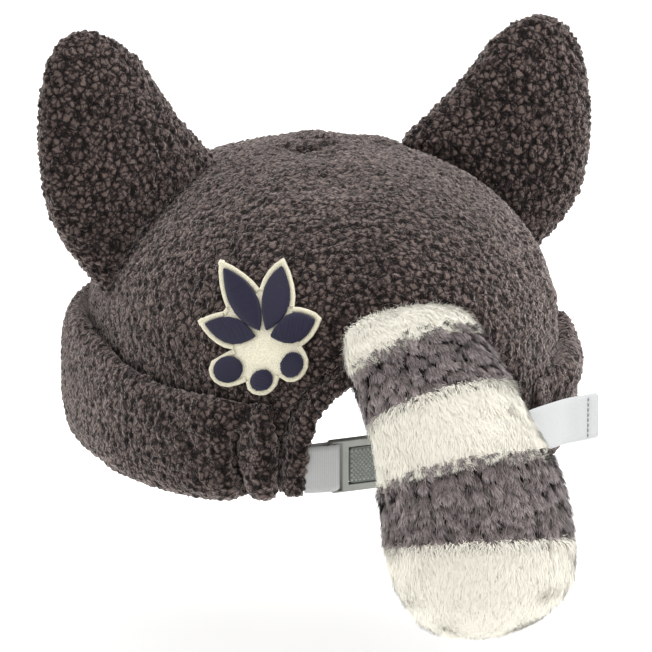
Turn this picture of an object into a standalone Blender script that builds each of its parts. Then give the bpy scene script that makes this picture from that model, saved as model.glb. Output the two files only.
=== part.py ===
"""Fluffy hat: a padded fleece crown with a turned-up cuff, two stuffed ears, a striped plush
tail that hangs over an open arch at the back, and a webbing strap with a cam clasp that
bridges the arch.

The front faces -Y, the back +Y and the wearer's left +X. The origin is the middle of the
head opening, on the plane of the cuff's lower edge. Angles round the hat are measured from
the back centre towards the wearer's left."""

import math

import bmesh
import bpy
from mathutils import Matrix, Vector

MM = 0.001
GAP = 0.5 * MM

# Crown
CROWN_HALF_WIDTH = 100 * MM
CROWN_HALF_LENGTH = 120 * MM
WALL = 17 * MM
WALL_TOP = 54 * MM
DOME_HEIGHT = 78.5 * MM
DOME_SQUARENESS = 2.2
CROWN_RIM = 9.5 * MM
CROWN_SIDES = 60
WALL_ROWS = 3
DOME_ROWS = 9
CROWN_DENTS = (
    # place along X and Y, reach, depth (a negative depth is a lump), all in mm
    ("x", "y", "reach", "depth"),
    (-2, -18, 12, -4),
    (6, 4, 10, 4),
    (8, 40, 13, 3.5),
    (-52, 34, 16, 3),
)

# Rear arch and its rolled facing
ARCH_HALF_WIDTH = 47 * MM
ARCH_HEIGHT = 58 * MM
ARCH_SQUARENESS = 3.0
ARCH_STEPS = 22
FACING_WIDTH = 9 * MM
FACING_FOOT = 5 * MM
FACING_SECTION = (
    # how far across the strip, from the arch's edge outwards, and how far out of the crown's
    # outer face, both in mm
    ("across", "out"),
    (0, -12),
    (0, -4),
    (2, 0.6),
    (4.5, 1.4),
    (7, 0.6),
    (8.7, -3),
    (8.7, -13),
    (6.5, -16.4),
    (2.5, -16.4),
)

# Cuff
CUFF_END_X = ARCH_HALF_WIDTH + FACING_WIDTH + 2 * GAP
CUFF_END_STEP = 0.8 * MM
CUFF_TOP_BACK = 47.5 * MM
CUFF_TOP_FRONT = 60 * MM
CUFF_PUFF = 12 * MM
CUFF_STEPS = 54
# Angles from the back centre, in degrees, between which the upper edge rises to its height in front
CUFF_TOP_RISE = (62, 104)
# The end on the wearer's right lies flat under the strap's loose run: its thickness there, how
# far its lower edge lifts, and the angles over which its two halves swell to the full puff
CUFF_TUCK = 4.6 * MM
CUFF_TUCK_UPPER = CUFF_TUCK + 1 * MM
CUFF_TUCK_LIFT = 3 * MM
TUCK_UPPER_RISE = (40, 62)
TUCK_LOWER_RISE = (60, 78)
CUFF_PUFFS = (
    # angle from the back centre in degrees, share of the full puff, rise of the lower edge in mm
    ("angle", "share", "rise"),
    (35.6, 0.30, 5.5),
    (38.5, 0.62, 3.5),
    (42.5, 0.26, 5.5),
    (47, 0.84, 1),
    (53, 1.0, 0),
    (180, 1.0, 0),
)

# Ears, with the table's columns in mm: height along the ear's axis, its inner and outer edge
# along the base line, half its thickness, and how far its middle stands back
EAR_BASE = Vector((72 * MM, -12 * MM, 98 * MM))
EAR_SIDES = 20
EAR_SECTIONS = (
    ("height", "inner", "outer", "half_thickness", "back"),
    (-16, -34, 34, 11, 0),
    (2, -38.5, 38, 15, 0),
    (16, -39, 37, 16, 1),
    (31, -39.5, 35.5, 15, 2),
    (47, -42, 31, 13.5, 3),
    (62, -45, 21, 11.5, 3),
    (76, -43.5, 8, 9, 2),
    (86, -39.5, -4, 6.5, 1),
    (92, -33, -15, 3.5, 0),
)
EAR_TIP = Vector((-24.5, 0, 95)) * MM
# How far the outer edge stands behind the inner one, for each unit across
EAR_SWEEP = 0.15
EAR_ROUNDNESS = 0.9
EARS = (
    # side, 1 on the wearer's left, the lean of its axis in degrees, how tall it is against the
    # table, how far out it is moved and how much wider its inner side is, both in mm
    ("name", "side", "lean", "stretch", "spread", "wider"),
    ("ear_left", 1, 43, 1, -1.6, 1.4),
    ("ear_right", -1, 51, 0.94, -1.2, 2),
)

# Tail, with its centre line and section in mm. The section is wider than it is thick, and
# its side towards the hat is the flatter one. The stripes lie square to a heading that dips
# below level and leans to the wearer's right, both in degrees.
TAIL_STATIONS = (
    ("x", "y", "z", "half_width", "outer", "inner", "dip", "lean"),
    (9, 118, 80, 29, 11.5, 11, 20, 4),
    (10.5, 131, 75, 33, 20, 14, 38, 10),
    (8, 145, 62, 34, 26, 21, 50, 10),
    (3, 158, 43, 36, 31, 28, 57, 4),
    (-2, 169.5, 18.5, 41.5, 35, 33, 65, 1),
    (-3.5, 177, -8, 42, 37, 36, 76, -5),
    (-2, 181, -20, 38, 33.5, 32.5, 80, -5),
    (2, 183, -30, 27, 24, 23, 83, -5),
    (6, 183.5, -36, 13, 12, 11.5, 85, -5),
)
TAIL_STRIPES = (
    # name, first and last place along the stations, rows of locks
    ("name", "start", "end", "rows"),
    ("tail_white_root", 0.0, 1.45, 4),
    ("tail_grey_upper", 1.45, 2.65, 4),
    ("tail_white_middle", 2.65, 3.75, 4),
    ("tail_grey_lower", 3.75, 4.8, 4),
    ("tail_white_tip", 4.8, 8.0, 7),
)
TAIL_SIDES = 30
LOCK_RELIEF = 1.8 * MM

# Strap, clasp and lever
STRAP_WIDTH = 20.5 * MM
STRAP_THICKNESS = 1.6 * MM
STRAP_MIDDLE = 16.3 * MM
STRAP_ROOT = 44.9 * MM
CHORD_Y = 98 * MM
CHORD_SLOPE = 0.08
STRAP_TAIL_ROUTE = (
    # the strap's loose outer run in mm, from the clasp round the cuff's end to its hem
    ("x", "y", "z"),
    (-8, 100.6, 16.4),
    (-26, 105.5, 18.5),
    (-41, 113, 22.7),
    (-54, 111.5, 25.8),
    (-66.5, 102.5, 25.2),
    (-78, 91.5, 23.4),
    (-87.5, 85.5, 22.3),
    (-97, 80.5, 21.6),
)
CLASP_LEFT = 36 * MM
CLASP_LENGTH = 38 * MM
CLASP_HEIGHT = 22.6 * MM
CLASP_THICKNESS = 5 * MM
CLASP_BAR = 2.6 * MM
CLASP_SLOT = 3.2 * MM
CLASP_CORNER = 2 * MM
# How much lower the two bars lie than the frame's faces, and the frame left beside the window
BAR_STEP = 1.2 * MM
WINDOW_RIB = 2.8 * MM
SLOT_MARGIN = 0.35 * MM
LOOP_CLEARANCE = 0.3 * MM
CUT_REACH = 9 * MM
LEVER_LENGTH = 17 * MM
LEVER_HEIGHT = 15.4 * MM
LEVER_THICKNESS = 2.6 * MM
WINDOW_MARGIN = 0.6 * MM
LEVER_SET_BACK = 0.4 * MM
LEVER_CORNER = 1.6 * MM
HUB_RADIUS = 1.9 * MM
PIN_RADIUS = 0.9 * MM
PIN_CLEARANCE = 0.3 * MM
# The pin's middle from the window's edge, and the frame left past the ends of its hole
PIN_INSET = 2.2 * MM
PIN_HOLE_WALL = 1.4 * MM
PIN_END_GAP = 0.4 * MM

# Embroidered patch: a sprig of leaves and berries inside a raised border, in mm
PATCH_CENTRE = (61 * MM, 73 * MM)
PATCH_LIFT = 0.7 * MM
PATCH_THICKNESS = 1.1 * MM
PATCH_GAP = 0.3 * MM
PATCH_RAISE = 1.1 * MM
PATCH_REACH = 34
PATCH_SIDES = 56
BORDER_WIDTH = 2.2
PATCH_LEAVES = (
    # how far the leaf's middle is from the sprig's, its length and breadth, and its turn in
    # degrees from the wearer's right
    ("reach", "length", "breadth", "turn"),
    (16.5, 33, 16.5, 109),
    (16.5, 33, 16.5, 57),
    (14.5, 29, 16, 160),
    (14, 28, 15, 6),
)
PATCH_BERRIES = (
    ("reach", "radius", "turn"),
    (18, 7.5, 214),
    (18, 7, 262),
    (19.5, 8, 310),
)

# Colours, linear
FLEECE_GREY = (0.072, 0.052, 0.054)
PLUSH_GREY = (0.235, 0.200, 0.205)
PLUSH_CREAM = (0.86, 0.84, 0.76)
WEBBING_GREY = (0.56, 0.57, 0.58)
MOULDED_GREY = (0.29, 0.32, 0.32)
THREAD_NAVY = (0.018, 0.018, 0.050)
THREAD_CREAM = (0.80, 0.77, 0.68)


def rows(table):
    """The rows of a table whose first row names its columns."""
    names = table[0]
    return [dict(zip(names, row)) for row in table[1:]]


def material(name, colour, roughness):
    made = bpy.data.materials.get(name) or bpy.data.materials.new(name)
    made.use_nodes = True
    shader = made.node_tree.nodes["Principled BSDF"]
    shader.inputs["Base Color"].default_value = (*colour, 1.0)
    shader.inputs["Roughness"].default_value = roughness
    shader.inputs["Metallic"].default_value = 0.0
    made.diffuse_color = (*colour, 1.0)
    return made


def add_mesh(name, points, faces, finish):
    """A closed mesh whose faces are turned outwards."""
    mesh = bpy.data.meshes.new(name)
    mesh.from_pydata([tuple(point) for point in points], [], faces)
    shaped = bmesh.new()
    shaped.from_mesh(mesh)
    bmesh.ops.recalc_face_normals(shaped, faces=shaped.faces)
    if shaped.calc_volume(signed=True) < 0:
        bmesh.ops.reverse_faces(shaped, faces=shaped.faces)
    shaped.to_mesh(mesh)
    shaped.free()
    mesh.shade_smooth()
    mesh.set_sharp_from_angle(angle=math.radians(50))
    mesh.materials.append(finish)
    piece = bpy.data.objects.new(name, mesh)
    bpy.context.scene.collection.objects.link(piece)
    return piece


def loft(name, rings, finish, start=None, end=None, flat_ends=False):
    """Joins closed rings of points into a solid. An end is closed with one flat face, or with
    a fan round its middle."""
    count = len(rings[0])
    points = [point for ring in rings for point in ring]
    faces = []
    for level in range(len(rings) - 1):
        low, high = level * count, (level + 1) * count
        for i in range(count):
            j = (i + 1) % count
            faces.append((low + i, low + j, high + j, high + i))
    for level, tip in ((0, start), (len(rings) - 1, end)):
        ring = rings[level]
        if flat_ends:
            faces.append(tuple(range(level * count, level * count + count)))
            continue
        middle = tip or sum((Vector(point) for point in ring), Vector()) / count
        points.append(middle)
        for i in range(count):
            faces.append((level * count + i, level * count + (i + 1) % count, len(points) - 1))
    return add_mesh(name, points, faces, finish)


def boolean(piece, cutter, operation="DIFFERENCE"):
    """Cuts a piece, and keeps the cutter out of the model."""
    cutter.hide_render = True
    cutter.display_type = "WIRE"
    modifier = piece.modifiers.new(operation.title(), "BOOLEAN")
    modifier.operation = operation
    modifier.solver = "EXACT"
    modifier.object = cutter


def smoothstep(low, high, value):
    share = min(max((value - low) / (high - low), 0.0), 1.0)
    return share * share * (3 - 2 * share)


def read_table(table, column, value, key):
    """A column of a table, read between its rows."""
    named = rows(table)
    for before, after in zip(named, named[1:]):
        if value <= after[key]:
            share = (value - before[key]) / (after[key] - before[key])
            return before[column] + (after[column] - before[column]) * max(share, 0.0)
    return named[-1][column]


def through(stations, place):
    """A smooth curve through the stations, read at a place counted in stations."""
    index = min(int(place), len(stations) - 2)
    t = place - index
    before = stations[max(index - 1, 0)]
    first, second = stations[index], stations[index + 1]
    after = stations[min(index + 2, len(stations) - 1)]
    values = []
    for a, b, c, d in zip(before, first, second, after):
        square = 2 * a - 5 * b + 4 * c - d
        cube = 3 * b - a - 3 * c + d
        values.append(b + 0.5 * ((c - a) * t + square * t**2 + cube * t**3))
    return values


def dome(latitude, inset=0.0):
    """Reach and height of the dome at a latitude from 0, its foot, to 90 degrees, its top."""
    power = 2 / DOME_SQUARENESS
    reach = math.cos(latitude) ** power
    return reach, WALL_TOP + (DOME_HEIGHT - inset) * math.sin(latitude) ** power


def crown_dent(x, y, height):
    """How far the crown is pushed in near its top seam and beside it."""
    if height < WALL_TOP:
        return 0.0
    depth = 0.0
    for dent in rows(CROWN_DENTS):
        distance = math.hypot(x / MM - dent["x"], y / MM - dent["y"]) / dent["reach"]
        depth += dent["depth"] * MM * math.exp(-distance * distance)
    return depth


def crown_rings(offset, rim, dented=True):
    """Level rings from near the top down to the rim, offset outwards from the crown's face."""
    rings = []
    latitudes = [math.radians(90 * (DOME_ROWS - row) / DOME_ROWS) for row in range(1, DOME_ROWS)]
    latitudes.insert(0, math.radians(85))
    levels = [dome(latitude, -offset) for latitude in latitudes]
    levels += [(1.0, WALL_TOP + (rim - WALL_TOP) * row / WALL_ROWS) for row in range(WALL_ROWS + 1)]
    for reach, height in levels:
        ring = []
        for side in range(CROWN_SIDES):
            angle = 2 * math.pi * side / CROWN_SIDES
            x = (CROWN_HALF_WIDTH + offset) * reach * math.sin(angle)
            y = (CROWN_HALF_LENGTH + offset) * reach * math.cos(angle)
            sunk = crown_dent(x, y, height) if dented else 0.0
            ring.append(Vector((x, y, height - sunk)))
        rings.append(ring)
    return rings


def crown_form(name, offset, finish):
    """The crown's outer form as a full solid, used to fit other pieces against it."""
    rings = crown_rings(offset, -60 * MM)
    return loft(name, rings, finish)


def arch_point(share, outset):
    """A point across and up the rear arch, from its left foot at 0 to its right foot at 1."""
    turn = math.pi * share
    power = 2 / ARCH_SQUARENESS
    across = math.copysign(abs(math.cos(turn)) ** power, math.cos(turn))
    return across * (ARCH_HALF_WIDTH + outset), math.sin(turn) ** power * (ARCH_HEIGHT + outset)


def crown_face(x, z):
    """How far back the crown's outer face lies at a place across and up."""
    if z <= WALL_TOP:
        reach = 1.0
    else:
        share = min((z - WALL_TOP) / DOME_HEIGHT, 0.999)
        reach = (1 - share**DOME_SQUARENESS) ** (1 / DOME_SQUARENESS)
    across = min(abs(x) / (CROWN_HALF_WIDTH * reach), 0.999)
    return CROWN_HALF_LENGTH * reach * math.sqrt(1 - across * across)


def crown_normal(x, z):
    """The outward direction of the crown's face at a place across and up its back."""
    step = 0.5 * MM
    slope_x = (crown_face(x + step, z) - crown_face(x - step, z)) / (2 * step)
    slope_z = (crown_face(x, z + step) - crown_face(x, z - step)) / (2 * step)
    return Vector((-slope_x, 1.0, -slope_z)).normalized()


def build_crown(finish):
    outer = crown_rings(0.0, CROWN_RIM)
    inner = crown_rings(-WALL, CROWN_RIM, dented=False)
    crown = loft("crown", outer + inner[::-1], finish)
    share_steps = [i / ARCH_STEPS for i in range(ARCH_STEPS + 1)]
    outline = [arch_point(share, FACING_WIDTH + GAP) for share in share_steps]
    foot = -30 * MM
    outline = [(outline[0][0], foot)] + outline + [(outline[-1][0], foot)]
    rings = [[Vector((x, y, z)) for x, z in outline] for y in (60 * MM, 150 * MM)]
    cutter = loft("arch_cutter", rings, finish)
    boolean(crown, cutter)
    return crown


def build_facing(finish):
    """The rolled strip of fleece round the arch, from the rim on one side to the other."""
    rings = []
    shares = [i / ARCH_STEPS for i in range(ARCH_STEPS + 1)]
    for share in shares:
        ring = []
        for corner in rows(FACING_SECTION):
            x, z = arch_point(share, corner["across"] * MM)
            z = max(z, FACING_FOOT)
            face = crown_face(x, z)
            slant = crown_normal(x, z).y
            ring.append(Vector((x, face + corner["out"] * MM / slant, z)))
        rings.append(ring)
    return loft("arch_facing", rings, finish)


def cuff_section(angle):
    """The cuff's section at an angle: offset from the crown's outer face, and height."""
    size = abs(math.degrees(angle))
    puff = CUFF_PUFF * read_table(CUFF_PUFFS, "share", size, "angle")
    low_puff = puff
    top = CUFF_TOP_BACK + (CUFF_TOP_FRONT - CUFF_TOP_BACK) * smoothstep(*CUFF_TOP_RISE, size)
    under = CROWN_RIM - GAP
    floor = read_table(CUFF_PUFFS, "rise", size, "angle") * MM
    if angle < 0:
        free = smoothstep(*TUCK_LOWER_RISE, size)
        low_puff = min(puff, CUFF_TUCK) * (1 - free) + puff * free
        tucked = min(puff, CUFF_TUCK_UPPER)
        puff = tucked + (puff - tucked) * smoothstep(*TUCK_UPPER_RISE, size)
        floor += CUFF_TUCK_LIFT * (1 - free)
    return (
        (GAP, 14 * MM),
        (GAP, top - 5 * MM),
        (0.20 * puff + GAP, top),
        (0.62 * puff, top - 1.5 * MM),
        (0.90 * puff, top - 8 * MM),
        (0.25 * puff + 0.75 * low_puff, top - 18 * MM),
        (low_puff, 22 * MM),
        (0.97 * low_puff, 14 * MM),
        (0.72 * low_puff, 5 * MM + floor),
        (0.20 * low_puff, 1 * MM + floor),
        (-0.3 * WALL, min(floor, under - 2 * MM)),
        (-0.75 * WALL, min(floor + 1.5 * MM, under - 1.5 * MM)),
        (-WALL, min(floor + 4 * MM, under - 0.8 * MM)),
        (-WALL, under),
        (GAP, under),
    )


def build_cuff(finish):
    """The padded cuff, from one side of the arch round the front to the other."""
    angles = [math.radians(row["angle"]) for row in rows(CUFF_PUFFS)[:-1]]
    first, last = angles[-1], 2 * math.pi - angles[-1]
    between = [first + (last - first) * i / CUFF_STEPS for i in range(1, CUFF_STEPS)]
    angles = angles + between + [2 * math.pi - angle for angle in reversed(angles)]
    rings = []
    for i, turn in enumerate(angles):
        angle = turn if turn <= math.pi else turn - 2 * math.pi
        end_x = CUFF_END_X + min(i, len(angles) - 1 - i) * CUFF_END_STEP
        ring = []
        for offset, height in cuff_section(angle):
            clear = math.asin(min(end_x / (CROWN_HALF_WIDTH + offset), 1.0))
            bent = abs(angle) if abs(angle) > math.radians(90) else max(abs(angle), clear)
            x = (CROWN_HALF_WIDTH + offset) * math.sin(bent)
            y = (CROWN_HALF_LENGTH + offset) * math.cos(bent)
            ring.append(Vector((math.copysign(x, angle), y, height)))
        rings.append(ring)
    return loft("cuff", rings, finish, flat_ends=True)


def build_ear(ear, finish, cutter):
    """A stuffed ear, closed at its tip and cut to the crown at its base."""
    lean = math.radians(ear["lean"])
    along = Vector((math.cos(lean), 0, -math.sin(lean)))
    axis = Vector((math.sin(lean), 0, math.cos(lean)))

    def place(across, back, height):
        back += across * EAR_SWEEP
        point = EAR_BASE + along * across + Vector((0, back, 0)) + axis * height * ear["stretch"]
        return Vector(((point.x + ear["spread"] * MM) * ear["side"], point.y, point.z))

    rings = []
    for section in rows(EAR_SECTIONS):
        inner = section["inner"] - ear["wider"]
        middle = (inner + section["outer"]) / 2 * MM
        half = (section["outer"] - inner) / 2 * MM
        ring = []
        for i in range(EAR_SIDES):
            turn = 2 * math.pi * i / EAR_SIDES
            across = middle + half * math.copysign(abs(math.cos(turn)) ** EAR_ROUNDNESS, math.cos(turn))
            back = (section["back"] + section["half_thickness"] * math.sin(turn)) * MM
            ring.append(place(across, back, section["height"] * MM))
        rings.append(ring)
    piece = loft(ear["name"], rings, finish, end=place(EAR_TIP.x, EAR_TIP.y, EAR_TIP.z))
    boolean(piece, cutter)
    return piece


def tail_point(place, side_share, relief, shift=0.0):
    """A point on the tail's skin. The side's share runs once round from the wearer's left."""
    stations = [list(row.values()) for row in rows(TAIL_STATIONS)]
    x, y, z, half_width, outer, inner, dip, lean = through(stations, place)
    dip, lean = math.radians(dip), math.radians(lean)
    level = math.cos(lean)
    heading = Vector((-math.sin(lean), level * math.cos(dip), -level * math.sin(dip)))
    left = Vector((1, 0, 0))
    left = (left - heading * left.dot(heading)).normalized()
    out = left.cross(heading)
    turn = 2 * math.pi * side_share
    depth = outer if math.sin(turn) > 0 else inner
    skin = left * math.cos(turn) * half_width * MM + out * math.sin(turn) * depth * MM
    skin += skin.normalized() * relief
    return Vector((x, y, z)) * MM + heading * shift + skin


def lock(side, row):
    """The relief of the fur's locks: each row's ridges fall between those of the next."""
    return LOCK_RELIEF / 2 if (side + row) % 2 == 0 else -LOCK_RELIEF / 2


def build_tail_stripe(stripe, finish, cutter):
    rings = []
    steps = stripe["rows"] * 2
    for step in range(steps + 1):
        place = stripe["start"] + (stripe["end"] - stripe["start"]) * step / steps
        edge = step in (0, steps)
        shift = 0.0
        if step == 0 and stripe["start"] > 0:
            shift = GAP / 2
        if step == steps:
            shift = -GAP / 2
        ring = []
        for side in range(TAIL_SIDES):
            relief = 0.0 if edge else lock(side, step)
            ring.append(tail_point(place, side / TAIL_SIDES, relief, shift))
        rings.append(ring)
    piece = loft(stripe["name"], rings, finish)
    if stripe["start"] == 0:
        boolean(piece, cutter)
    return piece


def ribbon(name, route, finish):
    """A flat strap that stands on edge along a route of points at its middle height."""
    rings = []
    for i, point in enumerate(route):
        before, after = route[max(i - 1, 0)], route[min(i + 1, len(route) - 1)]
        heading = after - before
        heading.z = 0
        heading.normalize()
        out = Vector((heading.y, -heading.x, 0)) * STRAP_THICKNESS / 2
        up = Vector((0, 0, STRAP_WIDTH / 2))
        rings.append([point - out - up, point + out - up, point + out + up, point - out + up])
    return loft(name, rings, finish)


def chord(x, outward=0.0):
    """A point on the straight line across the arch that the strap and clasp lie along."""
    across = Vector((1, CHORD_SLOPE, 0)).normalized()
    out = Vector((-across.y, across.x, 0))
    return Vector((0, CHORD_Y, STRAP_MIDDLE)) + across * x + out * outward


def bar_turn(centre_x, radius, first, last, steps=8):
    """Points of a half turn round one of the clasp's bars."""
    turns = [first + (last - first) * i / steps for i in range(steps + 1)]
    return [chord(centre_x + radius * math.cos(turn), radius * math.sin(turn)) for turn in turns]


def loop_radius():
    """How far the strap's middle runs from the middle of a clasp bar that it turns round."""
    bar = math.hypot(CLASP_BAR / 2, CLASP_THICKNESS / 2 - BAR_STEP)
    return bar + STRAP_THICKNESS / 2 + LOOP_CLEARANCE


def build_strap_left(finish):
    """The short fixed strap: sewn in at the arch's left side and looped round the clasp."""
    bar = CLASP_LEFT - CLASP_BAR / 2
    radius = loop_radius()
    loop = bar_turn(bar, radius, math.radians(90), math.radians(270))
    root = STRAP_ROOT
    outer = [chord(root, 0.4 * radius), chord(root - 3 * MM, 0.7 * radius), chord(bar + 4 * MM, radius)]
    inner = [chord(bar + 4 * MM, -radius), chord(bar + 9 * MM, -radius)]
    return ribbon("strap_left", outer + loop + inner, finish)


def build_strap_right(finish):
    """The long strap: sewn in at the arch's right side, turned round the clasp's right bar
    and led back outside to its hemmed end."""
    bar = CLASP_LEFT - CLASP_LENGTH + CLASP_BAR / 2
    radius = loop_radius()
    inner = [chord(-STRAP_ROOT, -0.6 * radius), chord(bar - 12 * MM, -0.8 * radius)]
    loop = bar_turn(bar, radius, math.radians(-90), math.radians(90))
    stations = [[row["x"], row["y"], row["z"]] for row in rows(STRAP_TAIL_ROUTE)]
    places = [i / 3 for i in range(2, 3 * (len(stations) - 1) + 1)]
    outer = [Vector(through(stations, place)) * MM for place in places]
    return ribbon("strap_right", inner + loop + outer, finish)


def clasp_box(name, left, right, low, high, inside, outside, bevel, finish):
    """A block in the clasp's own lines, with bevelled upright corners."""
    shaped = bmesh.new()
    bmesh.ops.create_cube(shaped, size=1.0)
    size = Vector((left - right, outside - inside, high - low))
    middle = Vector(((left + right) / 2, (inside + outside) / 2, (low + high) / 2))
    bmesh.ops.scale(shaped, vec=size, verts=shaped.verts)
    bmesh.ops.translate(shaped, vec=middle, verts=shaped.verts)
    if bevel:
        edges = [e for e in shaped.edges if abs((e.verts[0].co - e.verts[1].co).normalized().y) > 0.9]
        bmesh.ops.bevel(shaped, geom=edges, offset=bevel, segments=3, profile=0.5, affect="EDGES")
    mesh = bpy.data.meshes.new(name)
    shaped.to_mesh(mesh)
    shaped.free()
    mesh.materials.append(finish)
    piece = bpy.data.objects.new(name, mesh)
    bpy.context.scene.collection.objects.link(piece)
    return piece


def clasp_pin(name, x, y, radius, low, high, finish):
    shaped = bmesh.new()
    bmesh.ops.create_cone(
        shaped, cap_ends=True, segments=12, radius1=radius, radius2=radius, depth=high - low
    )
    bmesh.ops.translate(shaped, vec=Vector((x, y, (low + high) / 2)), verts=shaped.verts)
    mesh = bpy.data.meshes.new(name)
    shaped.to_mesh(mesh)
    shaped.free()
    mesh.materials.append(finish)
    piece = bpy.data.objects.new(name, mesh)
    bpy.context.scene.collection.objects.link(piece)
    return piece


def build_clasp(finish):
    """The moulded frame with its two bars and window, and the cam lever hinged in the window."""
    half_height = CLASP_HEIGHT / 2
    half_thickness = CLASP_THICKNESS / 2
    bar_depth = half_thickness - BAR_STEP
    left, right = CLASP_LEFT, CLASP_LEFT - CLASP_LENGTH
    window_left = left - CLASP_BAR - CLASP_SLOT - WINDOW_RIB
    window_right = window_left - LEVER_LENGTH - 2 * WINDOW_MARGIN
    pin_x = window_right + PIN_INSET
    window_half = LEVER_HEIGHT / 2 + WINDOW_MARGIN
    frame = clasp_box(
        "clasp_frame",
        left,
        right,
        -half_height,
        half_height,
        -half_thickness,
        half_thickness,
        CLASP_CORNER,
        finish,
    )
    slot_half = STRAP_WIDTH / 2 + SLOT_MARGIN
    cuts = {
        "left_slot": (left - CLASP_BAR, left - CLASP_BAR - CLASP_SLOT, slot_half),
        "right_slot": (right + CLASP_BAR + CLASP_SLOT, right + CLASP_BAR, slot_half),
        "lever_window": (window_left, window_right, window_half),
    }
    pieces = [frame]
    for name, (cut_left, cut_right, half) in cuts.items():
        cutter = clasp_box(name, cut_left, cut_right, -half, half, -CUT_REACH, CUT_REACH, 0, finish)
        boolean(frame, cutter)
        pieces.append(cutter)
    for name, cut_left, cut_right in (
        ("left_bar_step", left + 1 * MM, left - CLASP_BAR - 0.1 * MM),
        ("right_bar_step", right + CLASP_BAR + 0.1 * MM, right - 1 * MM),
    ):
        for face, inside, outside in (("front", bar_depth, CUT_REACH), ("back", -CUT_REACH, -bar_depth)):
            part = f"{name}_{face}"
            cutter = clasp_box(part, cut_left, cut_right, -slot_half, slot_half, inside, outside, 0, finish)
            boolean(frame, cutter)
            pieces.append(cutter)
    hole_half = half_height - PIN_HOLE_WALL
    hole = clasp_pin("pin_hole", pin_x, 0, PIN_RADIUS + PIN_CLEARANCE, -hole_half, hole_half, finish)
    boolean(frame, hole)
    pieces.append(hole)

    lever = clasp_box(
        "clasp_lever",
        window_left - WINDOW_MARGIN,
        pin_x - 0.2 * MM,
        -LEVER_HEIGHT / 2,
        LEVER_HEIGHT / 2,
        half_thickness - LEVER_THICKNESS - LEVER_SET_BACK,
        half_thickness - LEVER_SET_BACK,
        LEVER_CORNER,
        finish,
    )
    hub = clasp_pin("lever_hub", pin_x, 0, HUB_RADIUS, -LEVER_HEIGHT / 2, LEVER_HEIGHT / 2, finish)
    boolean(lever, hub, "UNION")
    pin_half = hole_half - PIN_END_GAP
    pin = clasp_pin("lever_pin", pin_x, 0, PIN_RADIUS, -pin_half, pin_half, finish)
    boolean(lever, pin, "UNION")
    pieces += [hub, pin, lever]

    turn = Matrix.Rotation(math.atan(CHORD_SLOPE), 4, "Z")
    seat = Matrix.Translation((0, CHORD_Y, STRAP_MIDDLE)) @ turn
    for piece in pieces:
        piece.data.transform(seat)
    hinge = seat @ Vector((pin_x, 0, 0))
    lever.data.transform(Matrix.Translation(-hinge))
    lever.location = hinge
    return frame, lever


def on_crown(across, up, lift):
    """A point over the crown's back, in mm across and up from the patch's middle."""
    x0, z0 = PATCH_CENTRE
    normal = crown_normal(x0, z0)
    right = normal.cross(Vector((0, 0, 1))).normalized()
    above = right.cross(normal)
    point = Vector((x0, crown_face(x0, z0), z0)) + right * across * MM + above * up * MM
    point.y = crown_face(point.x, point.z)
    return point + crown_normal(point.x, point.z) * lift


def patch_middle(shape):
    turn = math.radians(shape["turn"])
    return shape["reach"] * math.cos(turn), shape["reach"] * math.sin(turn), turn


def in_leaf(leaf, x, y):
    """Whether a place is on a leaf, which is pointed at both ends."""
    middle_x, middle_y, turn = patch_middle(leaf)
    along = (x - middle_x) * math.cos(turn) + (y - middle_y) * math.sin(turn)
    across = (y - middle_y) * math.cos(turn) - (x - middle_x) * math.sin(turn)
    share = 1 - (2 * along / leaf["length"]) ** 2
    return share > 0 and abs(across) < leaf["breadth"] / 2 * share


def in_berry(berry, x, y):
    middle_x, middle_y, _ = patch_middle(berry)
    return math.hypot(x - middle_x, y - middle_y) < berry["radius"]


def leaf_outline(leaf, steps=9):
    """A leaf inside its border."""
    middle_x, middle_y, turn = patch_middle(leaf)
    half_length = leaf["length"] / 2 - 1.6 * BORDER_WIDTH
    half_breadth = leaf["breadth"] / 2 - BORDER_WIDTH
    points = []
    for i in range(2 * steps):
        angle = math.pi * i / steps
        along = math.cos(angle) * half_length
        across = half_breadth * math.copysign(math.sin(angle) ** 2, math.sin(angle))
        x = middle_x + along * math.cos(turn) - across * math.sin(turn)
        y = middle_y + along * math.sin(turn) + across * math.cos(turn)
        points.append((x, y))
    return points


def berry_outline(berry, steps=14):
    middle_x, middle_y, _ = patch_middle(berry)
    radius = berry["radius"] - BORDER_WIDTH
    turns = [2 * math.pi * i / steps for i in range(steps)]
    return [(middle_x + radius * math.cos(turn), middle_y + radius * math.sin(turn)) for turn in turns]


def backing_outline():
    """The backing reaches as far, in each direction, as the last leaf or berry there."""
    points = []
    for i in range(PATCH_SIDES):
        turn = 2 * math.pi * i / PATCH_SIDES
        reach = PATCH_REACH
        while reach > 8:
            x, y = reach * math.cos(turn), reach * math.sin(turn)
            leaves = any(in_leaf(leaf, x, y) for leaf in rows(PATCH_LEAVES))
            if leaves or any(in_berry(berry, x, y) for berry in rows(PATCH_BERRIES)):
                break
            reach -= 0.25
        points.append((reach * math.cos(turn), reach * math.sin(turn)))
    return points


def patch_plate(name, outline, low, high, finish):
    """A thin embroidered shape that follows the crown."""
    middle = [sum(values) / len(outline) for values in zip(*outline)]
    rings = []
    spread = (0.4, 0.75, 1.0)
    for share, lift in [(share, low) for share in spread] + [(share, high) for share in spread[::-1]]:
        ring = []
        for x, y in outline:
            across = middle[0] + (x - middle[0]) * share
            up = middle[1] + (y - middle[1]) * share
            ring.append(on_crown(across, up, lift))
        rings.append(ring)
    return loft(name, rings, finish, on_crown(*middle, low), on_crown(*middle, high))


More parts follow.
